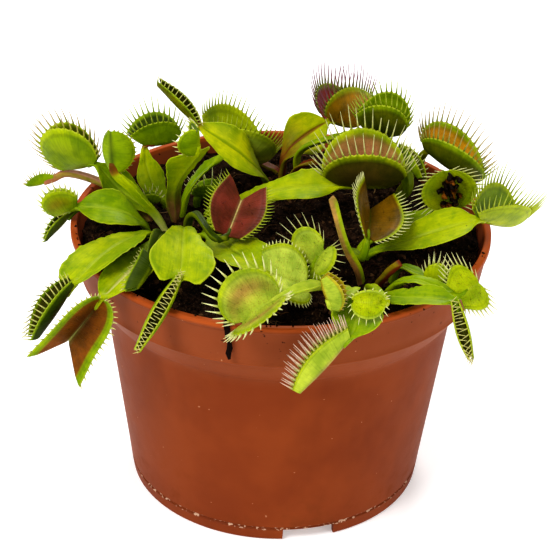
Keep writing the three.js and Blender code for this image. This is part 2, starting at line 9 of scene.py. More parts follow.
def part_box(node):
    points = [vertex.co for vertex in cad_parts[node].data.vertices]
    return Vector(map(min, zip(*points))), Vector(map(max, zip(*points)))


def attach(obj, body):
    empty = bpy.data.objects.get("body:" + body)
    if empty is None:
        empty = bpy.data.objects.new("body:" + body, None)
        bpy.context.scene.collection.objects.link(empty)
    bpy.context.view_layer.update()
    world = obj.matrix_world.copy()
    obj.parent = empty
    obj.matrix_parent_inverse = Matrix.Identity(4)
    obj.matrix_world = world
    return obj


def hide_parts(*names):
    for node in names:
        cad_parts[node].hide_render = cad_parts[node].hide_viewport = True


# A potted venus flytrap. Places and sizes are in millimetres round the pot's axis, with z = 0 on the
# ground, and angles in degrees. toFrame turns a place into the frame's metres.
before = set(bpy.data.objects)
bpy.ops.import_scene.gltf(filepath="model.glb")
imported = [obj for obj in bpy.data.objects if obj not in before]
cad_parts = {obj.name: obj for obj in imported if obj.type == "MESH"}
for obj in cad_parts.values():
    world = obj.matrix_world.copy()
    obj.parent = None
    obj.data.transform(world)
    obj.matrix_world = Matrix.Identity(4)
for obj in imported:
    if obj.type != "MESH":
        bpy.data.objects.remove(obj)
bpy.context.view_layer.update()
potLow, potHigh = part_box("pot")
potAxis = Vector(((potLow.x + potHigh.x) / 2, (potLow.y + potHigh.y) / 2, 0))
rimRadius = (potHigh.x - potLow.x) * 500
potHeight = potHigh.z * 1000
print("frame loaded:", len(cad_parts), "nodes, pot", round(2 * rimRadius, 1), "mm across")


def toFrame(x, y, z):
    return Vector((x, y, z)) * 0.001 + potAxis


# shader graphs written as expressions

class Wire:
    def __init__(self, graph, socket):
        self.graph = graph
        self.socket = socket

    def __add__(self, other):
        return self.graph.maths("ADD", self, other)

    def __radd__(self, other):
        return self.graph.maths("ADD", other, self)

    def __sub__(self, other):
        return self.graph.maths("SUBTRACT", self, other)

    def __rsub__(self, other):
        return self.graph.maths("SUBTRACT", other, self)

    def __mul__(self, other):
        return self.graph.maths("MULTIPLY", self, other)

    def __rmul__(self, other):
        return self.graph.maths("MULTIPLY", other, self)

    def __truediv__(self, other):
        return self.graph.maths("DIVIDE", self, other)

    def __getitem__(self, name):
        return Wire(self.graph, self.socket.node.outputs[name])


class Finish:
    def __init__(self, name):
        self.material = bpy.data.materials.new(name)
        self.material.use_nodes = True
        self.tree = self.material.node_tree
        self.shader = self.tree.nodes["Principled BSDF"]

    def node(self, kind, settings=None, **inputs):
        made = self.tree.nodes.new("ShaderNode" + kind)
        for key, value in (settings or {}).items():
            setattr(made, key, value)
        for key, value in inputs.items():
            self.join(made.inputs[int(key[1:]) if key[0] == "i" and key[1:].isdigit() else key], value)
        return Wire(self, made.outputs[0])

    def join(self, socket, value):
        if isinstance(value, Wire):
            self.tree.links.new(value.socket, socket)
        elif isinstance(value, (tuple, list, Vector)) and len(socket.default_value) == 4:
            socket.default_value = (*value, 1)
        else:
            socket.default_value = value

    def maths(self, operation, *values):
        return self.node("Math", {"operation": operation}, **{"i%d" % k: v for k, v in enumerate(values)})

    def mix(self, factor, first, second, blend="MIX"):
        made = self.tree.nodes.new("ShaderNodeMix")
        made.data_type = "RGBA"
        made.blend_type = blend
        self.join(made.inputs["Factor"], factor)
        colours = [s for s in made.inputs if s.type == "RGBA"]
        self.join(colours[0], first)
        self.join(colours[1], second)
        return Wire(self, [s for s in made.outputs if s.type == "RGBA"][0])

    def toned(self, colour, tone):
        return self.mix(1.0, colour, tone, "MULTIPLY")

    def smooth(self, value, low, high, start=0.0, end=1.0):
        return self.node("MapRange", {"interpolation_type": "SMOOTHSTEP"}, Value=value,
                         **{"From Min": low, "From Max": high, "To Min": start, "To Max": end})

    def place(self, scale=(1, 1, 1), spin=(0, 0, 0)):
        where = self.node("TexCoord")["Object"]
        return self.node("Mapping", None, Vector=where, Scale=scale, Rotation=spin)

    def noise(self, vector, scale, detail=3.0, roughness=0.5, distortion=0.0):
        return self.node("TexNoise", None, Vector=vector, Scale=scale, Detail=detail,
                         Roughness=roughness, Distortion=distortion)

    def attribute(self, name):
        return self.node("Attribute", {"attribute_name": name})

    def bump(self, height, strength, distance):
        return self.node("Bump", None, Height=height, Strength=strength, Distance=distance)

    def shade(self, **inputs):
        for key, value in inputs.items():
            self.join(self.shader.inputs[key.replace("_", " ")], value)
        return self.material


def linear(code):
    parts = [int(code[k:k + 2], 16) / 255 for k in (0, 2, 4)]
    return tuple(p / 12.92 if p <= 0.04045 else ((p + 0.055) / 1.055) ** 2.4 for p in parts)


def ease(t):
    x = np.clip(t, 0, 1)
    return x * x * (3 - 2 * x)


def put(obj, replaced):
    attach(obj, "root")
    if replaced:
        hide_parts(*replaced)


# camera, floor and light
view = {
    "distance": 560, "elevation": 29.716, "roll": 1.636, "target": (-0.723, 0, 62.22),
    "lens": 125.1, "sensor": 36,
}
studio = {
    "floorTint": (0.93, 0.93, 0.93), "floorGlow": 0.3, "worldTint": (1, 1, 1), "worldStrength": 0.36,
    "lamps": {
        "key": dict(place=(-330, -420, 620), size=300, watts=3.3),
        "fill": dict(place=(520, -420, 300), size=360, watts=1.0),
        "back": dict(place=(60, 520, 560), size=300, watts=2.2),
    },
}


def aim(obj, where, target, roll=0.0):
    back = (where - target).normalized()
    right = Vector((0, 0, 1)).cross(back).normalized()
    up = back.cross(right)
    c, s = math.cos(roll), math.sin(roll)
    turn = Matrix((c * right + s * up, c * up - s * right, back)).transposed().to_4x4()
    obj.matrix_world = Matrix.Translation(where) @ turn


def makeStudio():
    target = toFrame(*view["target"])
    tilt = math.radians(view["elevation"])
    where = target + Vector((0, -math.cos(tilt), math.sin(tilt))) * view["distance"] * 0.001
    bpy.ops.object.camera_add()
    camera = bpy.context.object
    camera.name = "camera"
    camera.data.sensor_width = view["sensor"]
    camera.data.lens = view["lens"]
    camera.data.clip_start = 0.01
    aim(camera, where, target, math.radians(view["roll"]))
    bpy.context.scene.camera = camera

    bpy.ops.mesh.primitive_plane_add(size=8, location=(0, 0, -0.0002))
    floor = bpy.context.object
    floor.name = "floor"
    paper = Finish("paleFloor")
    floor.data.materials.append(paper.shade(Base_Color=studio["floorTint"], Roughness=0.9,
                                           Emission_Color=(1, 1, 1), Emission_Strength=studio["floorGlow"]))

    for name, lamp in studio["lamps"].items():
        bpy.ops.object.light_add(type="AREA")
        light = bpy.context.object
        light.name = name + "Lamp"
        light.data.shape = "DISK"
        light.data.size = lamp["size"] * 0.001
        light.data.energy = lamp["watts"]
        aim(light, toFrame(*lamp["place"]), toFrame(0, 0, 60))
    world = bpy.data.worlds.new("paleRoom")
    world.use_nodes = True
    sky = world.node_tree.nodes["Background"]
    sky.inputs["Color"].default_value = (*studio["worldTint"], 1)
    sky.inputs["Strength"].default_value = studio["worldStrength"]
    bpy.context.scene.world = world
    bpy.context.scene.view_settings.view_transform = "Standard"
    bpy.context.scene.view_settings.look = "Medium High Contrast"
    print("camera, floor and light")


makeStudio()


# the pot: a ring of edges drawn up the outside, over the lip and down the inside
pot = {
    "sides": 160, "wall": 1.7, "foot": 43.0, "floorZ": 4.0, "shoulder": 50.8, "shoulderZ": 59.5,
    "collar": 57.6, "collarZ": 68.0, "lip": 1.8,
    "notch": dict(width=15, depth=12, height=3.7, turns=(14, 134, 254)),
    "drain": dict(radius=3.5, ring=26, count=4),
}


def wallRadius(z):
    return pot["foot"] + (pot["shoulder"] - pot["foot"]) * z / pot["shoulderZ"]


def arc(centre, radius, start, end, steps):
    turns = [math.radians(start + (end - start) * k / steps) for k in range(steps + 1)]
    return [(centre[0] + radius * math.cos(a), centre[1] + radius * math.sin(a)) for a in turns]


def potRings():
    wall, foot, floorZ = pot["wall"], pot["foot"], pot["floorZ"]
    shoulder, shoulderZ = pot["shoulder"], pot["shoulderZ"]
    collar, collarZ = pot["collar"], pot["collarZ"]
    outer, lipZ = rimRadius, potHeight - pot["lip"]
    rings = [(foot - wall - 0.4, floorZ), (foot - wall, 0.3)]
    rings += [(foot - wall + 0.3, 0), (foot - 0.3, 0)]
    rings += arc((foot - 0.3, 0.35), 0.35, -60, 0, 3)
    rings += [(wallRadius(floorZ) + 0.02, floorZ - 0.35), (wallRadius(floorZ) - 0.22, floorZ - 0.1)]
    rings += [(wallRadius(floorZ) - 0.22, floorZ + 0.25), (wallRadius(floorZ + 1), floorZ + 0.6)]
    rings += [(wallRadius(z), z) for z in (10, 20, 30, 40, 50, 56)]
    rings += [(shoulder - 0.1, shoulderZ - 1.4), (shoulder + 0.15, shoulderZ - 0.5)]
    rings += [(shoulder + 0.9, shoulderZ + 0.3), (shoulder + 2.2, shoulderZ + 1.7)]
    rings += [(collar - 2, collarZ - 2.2), (collar - 0.9, collarZ - 0.9)]
    rings += arc((collar - 0.75, collarZ - 0.1), 0.75, -50, 25, 5)
    rings += [(collar + 0.45, collarZ + 2.6), (collar + 1.2, collarZ + 7)]
    rings += [(outer - 0.75, lipZ - 0.6), (outer - 0.55, lipZ - 0.25)]
    rings += arc((outer - 0.55, lipZ + 0.3), 0.55, -70, 0, 4)
    rings += arc((outer - 0.6, potHeight - 0.6), 0.6, 0, 90, 6)
    rings += arc((outer - pot["lip"] + 0.3, potHeight - 0.5), 0.5, 90, 170, 4)
    rings += [(collar - wall + 0.2, collarZ), (shoulder - wall, shoulderZ)]
    rings += [(wallRadius(floorZ) - wall, floorZ + wall)]
    return rings


def cutAway(target, cutter):
    bpy.ops.object.select_all(action="DESELECT")
    target.select_set(True)
    bpy.context.view_layer.objects.active = target
    modifier = target.modifiers.new("cut", "BOOLEAN")
    modifier.operation = "DIFFERENCE"
    modifier.solver = "EXACT"
    modifier.object = cutter
    bpy.ops.object.modifier_apply(modifier="cut")
    bpy.data.objects.remove(cutter, do_unlink=True)


def makePot():
    rings = potRings()
    bpy.ops.object.select_all(action="DESELECT")
    start = rings[0]
    bpy.ops.mesh.primitive_circle_add(vertices=pot["sides"], radius=start[0] * 0.001, fill_type="NGON",
                                      location=toFrame(0, 0, start[1]))
    shell = bpy.context.object
    shell.name = "potShell"
    bpy.ops.object.transform_apply(location=True, rotation=True, scale=True)
    bpy.ops.object.mode_set(mode="EDIT")
    bpy.ops.mesh.select_all(action="SELECT")
    before = start
    for radius, z in rings[1:]:
        bpy.ops.mesh.extrude_region_move(
            TRANSFORM_OT_translate={"value": (0, 0, (z - before[1]) * 0.001)})
        bpy.ops.transform.resize(value=(radius / before[0], radius / before[0], 1),
                                 center_override=toFrame(0, 0, z))
        before = (radius, z)
    bpy.ops.mesh.select_all(action="SELECT")
    bpy.ops.mesh.normals_make_consistent(inside=False)
    bpy.ops.object.mode_set(mode="OBJECT")

    notch = pot["notch"]
    for turn in notch["turns"]:
        angle = math.radians(turn)
        where = toFrame(pot["foot"] * math.sin(angle), -pot["foot"] * math.cos(angle), 0)
        bpy.ops.mesh.primitive_cube_add(size=0.001, location=where, rotation=(0, 0, angle),
                                        scale=(notch["width"], notch["depth"], 2 * notch["height"]))
        cutAway(shell, bpy.context.object)
    drain = pot["drain"]
    for k in range(drain["count"]):
        angle = (k + 0.5) * 2 * math.pi / drain["count"]
        where = toFrame(drain["ring"] * math.cos(angle), drain["ring"] * math.sin(angle), 0)
        bpy.ops.mesh.primitive_cylinder_add(vertices=24, radius=drain["radius"] * 0.001, depth=0.03,
                                            location=where)
        cutAway(shell, bpy.context.object)
    bpy.ops.object.select_all(action="DESELECT")
    shell.select_set(True)
    bpy.context.view_layer.objects.active = shell
    bpy.ops.object.shade_smooth_by_angle(angle=math.radians(32))
    shell.data.materials.append(potPlastic())
    put(shell, ["pot"])
    print("pot:", len(shell.data.polygons), "faces")
    return shell


def potPlastic():
    f = Finish("terracottaPlastic")
    where = f.node("TexCoord")["Object"]
    local = f.node("VectorMath", {"operation": "SUBTRACT"}, i0=where, i1=potAxis)
    xyz = f.node("SeparateXYZ", None, Vector=local)
    z = xyz["Z"] * 1000
    radius = f.node("VectorMath", {"operation": "LENGTH"},
                    i0=f.node("CombineXYZ", None, X=xyz["X"], Y=xyz["Y"]))["Value"] * 1000
    cloud = f.noise(local, 45, 3, 0.55)
    grain = f.noise(local, 1900, 2, 0.6)
    brushed = f.noise(f.place((60, 60, 600)), 4, 3, 0.6)
    body = f.mix(f.smooth(cloud, 0.3, 0.7), linear("813a18"), linear("8c421c"))
    # the collar and lip a lighter, pinker brown: partly the plastic's own tone, partly a painted highlight
    body = f.mix(f.smooth(z, 55, 64) * 0.55, body, linear("96502e"))
    # painted highlight: a bright orange band over the top of the lip
    body = f.mix(f.smooth(z, 79.4, 80.2) * 0.8, body, linear("b65620"))
    # painted shade: the inside of the wall darker, from a little above its floor up
    inside = f.smooth(radius - wallRadius(z), -1.6, -1.2, 1, 0) * f.smooth(z, 5, 8)
    body = f.mix(inside * 0.7, body, linear("6a3014"))
    smudge = f.smooth(f.noise(f.place((34, 34, 14)), 1, 4, 0.6), 0.5, 0.72)
    body = f.mix(smudge * 0.4, body, f.toned(body, (0.62, 0.55, 0.5)))
    # damp dust above the foot ring, pale lime specks in the groove and soil specks under the lip
    dust = f.smooth(f.noise(local, 130, 4, 0.7), 0.5, 0.72) * f.smooth(z, 24, 2)
    body = f.mix(dust * 0.35, body, linear("6e3a1e"))
    groove = f.smooth(z, 3.2, 3.6) * f.smooth(z, 4.8, 4.4)
    speck = f.smooth(f.noise(local, 900, 2, 0.5), 0.56, 0.62)
    body = f.mix(groove * speck * 0.8, body, linear("d9b79a"))
    body = f.mix(groove * (1 - speck) * 0.35, body, linear("5c2a15"))
    crumb = f.smooth(f.noise(local, 620, 2, 0.4), 0.70, 0.74) * f.smooth(z, 66, 78)
    body = f.mix(crumb * 0.85, body, linear("2a1710"))
    fleck = f.smooth(f.noise(local, 800, 1, 0.3), 0.80, 0.82)
    body = f.mix(fleck * 0.5, body, linear("cf9a72"))
    rough = 0.42 + f.noise(local, 260, 3, 0.6) * 0.16 + dust * 0.2 + crumb * 0.3
    relief = grain * 0.35 + brushed * 0.5 + cloud * 0.6
    return f.shade(Base_Color=body, Roughness=rough, Normal=f.bump(relief, 0.12, 0.0004),
                   IOR=1.14)


makePot()


# the peat: a rough disc of crumbs, with loose crumbs and fibres scattered over it
peat = {
    "top": 77.0, "clear": 0.8, "rings": 92, "spokes": 300, "relief": 1.5,
    "crumbs": 2300, "crumbSizes": (0.35, 0.5, 0.5, 0.7, 0.9, 1.3), "spilt": 34,
    "fibres": 300, "fibreSizes": (0.09, 0.12, 0.16, 0.26),
    "browns": ("5a3c22", "7a5836", "3b2518", "4a3020", "8a6c48", "2a1a12"),
    # a root that hangs over the lip: x, how far in from the edge, a share of what is left, z and radius
    "root": ((-13.6, 3.4, 1, 80.2, 0.9), (-13.5, 1.9, 1, 81.4, 1), (-13.3, 1, 1, 81.5, 0.9),
             (-13.2, 0.1, 0.985, 80.4, 0.75), (-13, 0, 0.977, 78.2, 0.8), (-12.8, 0, 0.972, 76, 0.55),
             (-12.6, 0, 0.968, 73.8, 0.8), (-12.9, 0, 0.966, 72.2, 0.75), (-12.5, 0, 0.964, 70.4, 0.4)),
}


def soilHeight(x, y):
    return (peat["top"] + 0.7 * math.sin(x * 0.21 + 1) * math.cos(y * 0.17)
            + 0.5 * math.sin(x * 0.43 - y * 0.37) + 0.3 * math.cos(x * 0.71 + y * 0.59))


def soilRadius():
    return rimRadius - pot["wall"] - peat["clear"] - 0.9


def roughSoil(x, y):
    p = Vector((x, y, 0))
    lumps = noise.noise(p * 0.22) * 0.9 + noise.noise(p * 0.55) * 0.7
    grit = noise.noise(p * 1.5) * 0.55 + noise.noise(p * 3.4) * 0.3
    edge = max(0.0, (math.hypot(x, y) - soilRadius() + 5) / 5)
    return soilHeight(x, y) + (lumps + grit) * peat["relief"] * 0.5 * (1 - 0.5 * edge) - 0.8 * edge


def makePeat():
    radius = soilRadius()
    bpy.ops.object.select_all(action="DESELECT")
    bpy.ops.mesh.primitive_circle_add(vertices=peat["spokes"], radius=0.0006, fill_type="TRIFAN",
                                      location=toFrame(0, 0, peat["top"]))
    bed = bpy.context.object
    bed.name = "peatBed"
    bpy.ops.object.transform_apply(location=True, rotation=True, scale=True)
    bpy.ops.object.mode_set(mode="EDIT")
    bpy.ops.mesh.select_all(action="SELECT")
    bpy.ops.mesh.region_to_loop()
    at = centre = 0.6
    steps = [centre + (radius - centre) * (k / peat["rings"]) ** 0.8 for k in range(1, peat["rings"] + 1)]
    for step in steps:
        bpy.ops.mesh.extrude_edges_move()
        bpy.ops.transform.resize(value=(step / at, step / at, 1),
                                 center_override=toFrame(0, 0, peat["top"]))
        at = step
    foot = pot["floorZ"] + pot["wall"] + 0.3
    inset = pot["wall"] + peat["clear"]
    inner = [(pot["collar"] - inset, pot["collarZ"] + 0.4), (pot["shoulder"] - inset, pot["shoulderZ"]),
             (wallRadius(foot) - inset, foot), (1.0, foot)]
    height = peat["top"]
    for step, z in inner:
        bpy.ops.mesh.extrude_edges_move(TRANSFORM_OT_translate={"value": (0, 0, (z - height) * 0.001)})
        bpy.ops.transform.resize(value=(step / at, step / at, 1), center_override=toFrame(0, 0, z))
        at, height = step, z
    bpy.ops.mesh.fill()
    bpy.ops.mesh.select_all(action="SELECT")
    bpy.ops.mesh.normals_make_consistent(inside=False)
    bpy.ops.object.mode_set(mode="OBJECT")
    for v in bed.data.vertices:
        if v.co.z > (peat["top"] - 1) * 0.001:
            x, y = (v.co.x - potAxis.x) * 1000, (v.co.y - potAxis.y) * 1000
            v.co.z = roughSoil(x, y) * 0.001
    bpy.ops.object.shade_smooth()
    bed.data.materials.append(peatEarth())
    put(bed, ["peat"])
    print("peat bed:", len(bed.data.polygons), "faces")


def peatEarth():
    f = Finish("darkPeat")
    where = f.node("TexCoord")["Object"]
    clump = f.noise(where, 260, 5, 0.65)
    fine = f.noise(where, 1500, 4, 0.7)
    threads = f.noise(f.place((900, 260, 400), (0.3, 0.5, 0.9)), 1.0, 3, 0.6, 1.4)
    earth = f.mix(f.smooth(clump, 0.35, 0.68), linear("0a0502"), linear("322014"))
    earth = f.mix(f.smooth(fine, 0.5, 0.72) * 0.7, earth, linear("5c4430"))
    earth = f.mix(f.smooth(threads, 0.64, 0.72) * 0.7, earth, linear("8a6c4e"))
    tint = f.attribute("tint")["Color"]
    amount = f.attribute("tinted")["Fac"]
    earth = f.mix(amount, earth, f.mix(f.smooth(fine, 0.2, 0.8), f.mix(0.45, tint, (0, 0, 0)), tint))
    relief = clump * 0.6 + fine * 0.5
    return f.shade(Base_Color=earth, Roughness=0.82 + clump * 0.12,
                   Normal=f.bump(relief, 0.8, 0.0008), IOR=1.12)


def manyShapes(name, chunks, material, replaced):
    # chunks: (vertices, faces, tint or None) in millimetres, joined in one mesh
    places, faces, tints, counts = [], [], [], 0
    for vertices, polygons, tint in chunks:
        places.append(np.asarray(vertices, float))
        faces += [tuple(counts + k for k in polygon) for polygon in polygons]
        tints += [tint] * len(vertices)
        counts += len(vertices)
    where = np.concatenate(places) * 0.001 + np.array(potAxis)
    mesh = bpy.data.meshes.new(name)
    mesh.from_pydata(where.tolist(), [], faces)
    flat = [c for t in tints for c in (*(t or (0, 0, 0)), 1)]
    mesh.attributes.new("tint", "FLOAT_COLOR", "POINT").data.foreach_set("color", flat)
    share = [0.0 if t is None else 1.0 for t in tints]
    mesh.attributes.new("tinted", "FLOAT", "POINT").data.foreach_set("value", share)
    mesh.polygons.foreach_set("use_smooth", [True] * len(mesh.polygons))
    mesh.materials.append(material)
    obj = bpy.data.objects.new(name, mesh)
    bpy.context.collection.objects.link(obj)
    put(obj, replaced)
    return obj


def tube(points, radii, sides=4):
    points = [Vector(p) for p in points]
    vertices, faces = [], []
    for k, (point, radius) in enumerate(zip(points, radii)):
        ahead = (points[min(k + 1, len(points) - 1)] - points[max(k - 1, 0)]).normalized()
        side = ahead.cross(Vector((0.3, 0.2, 1))).normalized()
        other = side.cross(ahead)
        for j in range(sides):
            a = 2 * math.pi * j / sides
            vertices.append(point + radius * (math.cos(a) * side + math.sin(a) * other))
    for k in range(len(points) - 1):
        for j in range(sides):
            a, b = k * sides + j, k * sides + (j + 1) % sides
            faces.append((a, a + sides, b + sides, b))
    faces.append(tuple(range(sides)))
    faces.append(tuple(reversed(range(len(vertices) - sides, len(vertices)))))
    return vertices, faces


def crumbMesh():
    bpy.ops.mesh.primitive_ico_sphere_add(subdivisions=1, radius=1)
    ball = bpy.context.object
    shape = ([Vector(v.co) for v in ball.data.vertices], [tuple(p.vertices) for p in ball.data.polygons])
    bpy.data.objects.remove(ball, do_unlink=True)
    return shape


def makeCrumbs():
    rng = random.Random(11)
    corners, faces = crumbMesh()
    chunks = []

    def crumb(x, y, z, size, tint=None):
        turn = Matrix.Rotation(rng.uniform(0, 6.3), 3, "Z") @ Matrix.Rotation(rng.uniform(0, 3), 3, "X")
        squash = Vector((1, rng.uniform(0.6, 1), rng.uniform(0.45, 0.9)))
        jitter = [rng.uniform(0.72, 1.2) for _ in corners]
        vertices = [turn @ Vector(c * size * j * s for c, s in zip(v, squash)) + Vector((x, y, z))
                    for v, j in zip(corners, jitter)]
        chunks.append((vertices, faces, tint))

    radius = soilRadius()
    for _ in range(peat["crumbs"]):
        r = radius * math.sqrt(rng.uniform(0, 1))
        a = rng.uniform(0, 2 * math.pi)
        x, y = r * math.cos(a), r * math.sin(a)
        size = rng.choice(peat["crumbSizes"])
        pale = rng.random()
        tint = linear("6b4c32") if pale < 0.08 else linear("452f20") if pale < 0.28 else None
        crumb(x, y, roughSoil(x, y) + size * 0.2, size, tint)
    for _ in range(peat["spilt"]):
        a = rng.choice((rng.uniform(3.35, 4.3), rng.uniform(4.3, 6.1), rng.uniform(2.7, 3.5)))
        r = rimRadius - rng.uniform(0.9, 1.6)
        crumb(r * math.cos(a), r * math.sin(a), potHeight + 0.15, rng.uniform(0.2, 0.5))
    manyShapes("peatCrumbs", chunks, bpy.data.materials["darkPeat"], [])
    print("crumbs:", len(chunks))


def makeFibres():
    rng = random.Random(5)
    chunks = []
    browns = [linear(c) for c in peat["browns"]]
    for _ in range(peat["fibres"]):
        r = (soilRadius() - 2) * math.sqrt(rng.uniform(0, 1))
        a = rng.uniform(0, 2 * math.pi)
        x, y = r * math.cos(a), r * math.sin(a)
        heading, bend = rng.uniform(0, 6.3), rng.uniform(-0.35, 0.35)
        length = rng.uniform(2.5, 8)
        points = []
        for k in range(7):
            points.append((x, y, roughSoil(x, y) + 0.25 + 0.7 * math.sin(k * 0.5) * rng.uniform(0.2, 1)))
            x += math.cos(heading) * length / 6
            y += math.sin(heading) * length / 6
            heading += bend
        if math.hypot(x, y) > soilRadius() - 1:
            continue
        thick = rng.choice(peat["fibreSizes"])
        vertices, faces = tube(points, [thick * s for s in (0.5, 0.9, 1, 1, 1, 0.8, 0.3)])
        chunks.append((vertices, faces, rng.choice(browns)))
    outside = rimRadius + 0.45
    hang = [(x, -(outside - inset) * share, z) for x, inset, share, z, _ in peat["root"]]
    vertices, faces = tube(hang, [point[-1] for point in peat["root"]], 7)
    wobble = [v + Vector((rng.uniform(-0.18, 0.18), rng.uniform(-0.1, 0.1), rng.uniform(-0.2, 0.2)))
              for v in vertices]
    chunks.append((wobble, faces, linear("1c100c")))
    manyShapes("peatFibres", chunks, bpy.data.materials["darkPeat"], [])
    print("fibres:", len(chunks))


makePeat()
makeCrumbs()
makeFibres()


# the leaves: a winged petiole along a curved rib, and on most of them a trap of two toothed lobes
palette = {
    "lime": "a8b800", "leaf": "86a000", "green": "688400", "deep": "3f5008", "olive": "747400",
    "umber": "484602", "pale": "b4c43c", "yellow": "c0a01c", "straw": "d6d282", "orange": "b88608",
    "amber": "8c6c06", "brown": "4e2a04", "rust": "804a0c", "rose": "a8704c", "wine": "762a18",
    "red": "b43212", "tan": "b08848", "plum": "96506c", "fawn": "b8a468", "blush": "dcbcaa",
    "cream": "e4e6a4", "black": "160c05", "bronze": "7c5a06", "moss": "5c6204", "heart": "7a3424",
    # glow is a pale lime lightened further: partly the lobe's own pale colour, partly painted light on a
    # lobe in shade
    "bright": "c4cc08", "glow": "cfe058",
}
# a look's colours and shares where a leaf gives none
plainLook = dict(blade="leaf", edge="lime", midrib="pale", keel="lime", teeth="cream", toothWide=1.0,
                 rimFrom=0.82, flushAt=0.55, flushWide=0.3, stemShare=0.4, scraps=0)
leafShape = {
    "footDepth": 7.0, "footWidth": 2.2, "rowLength": 1.0, "blade": 28, "lamina": 0.22,
    "rib": 0.62, "groove": 0.3, "frill": 0.28, "wave": 0.5, "fold": 12, "into": 2.5,
    "ribWide": 0.9, "grooveWide": 0.5, "swell": 0.12, "swellWide": 1.8, "stemHalf": 0.6,
    "neckPinch": 0.3, "tipLeast": 2.5, "roughEdge": 0.05, "fineEdge": 0.035,
}
trapShape = {
    "fan": (66.0, 66.0), "spread": (0.4, 0.5), "cup": 35, "curl": 12, "cross": 55.0,
    "columns": 15, "lamina": 0.3, "keel": 0.75,
    "flange": 17.0, "flangeFrom": 0.84, "scallop": 0.035, "pitch": 1.45,
    "toothLength": 0.42, "toothGrow": 1.2, "toothRadius": 0.23, "hairLength": 1.7, "hairFrom": 88,
    "hingeHalf": 0.62, "lip": 0.18, "lipAt": 0.86, "lipWide": 0.05, "toothBend": 0.12,
    "toothStops": (0, 0.12, 0.35, 0.6, 0.82, 1.0), "toothTaper": (1.15, 1.0, 0.72, 0.5, 0.34, 0.14),
}
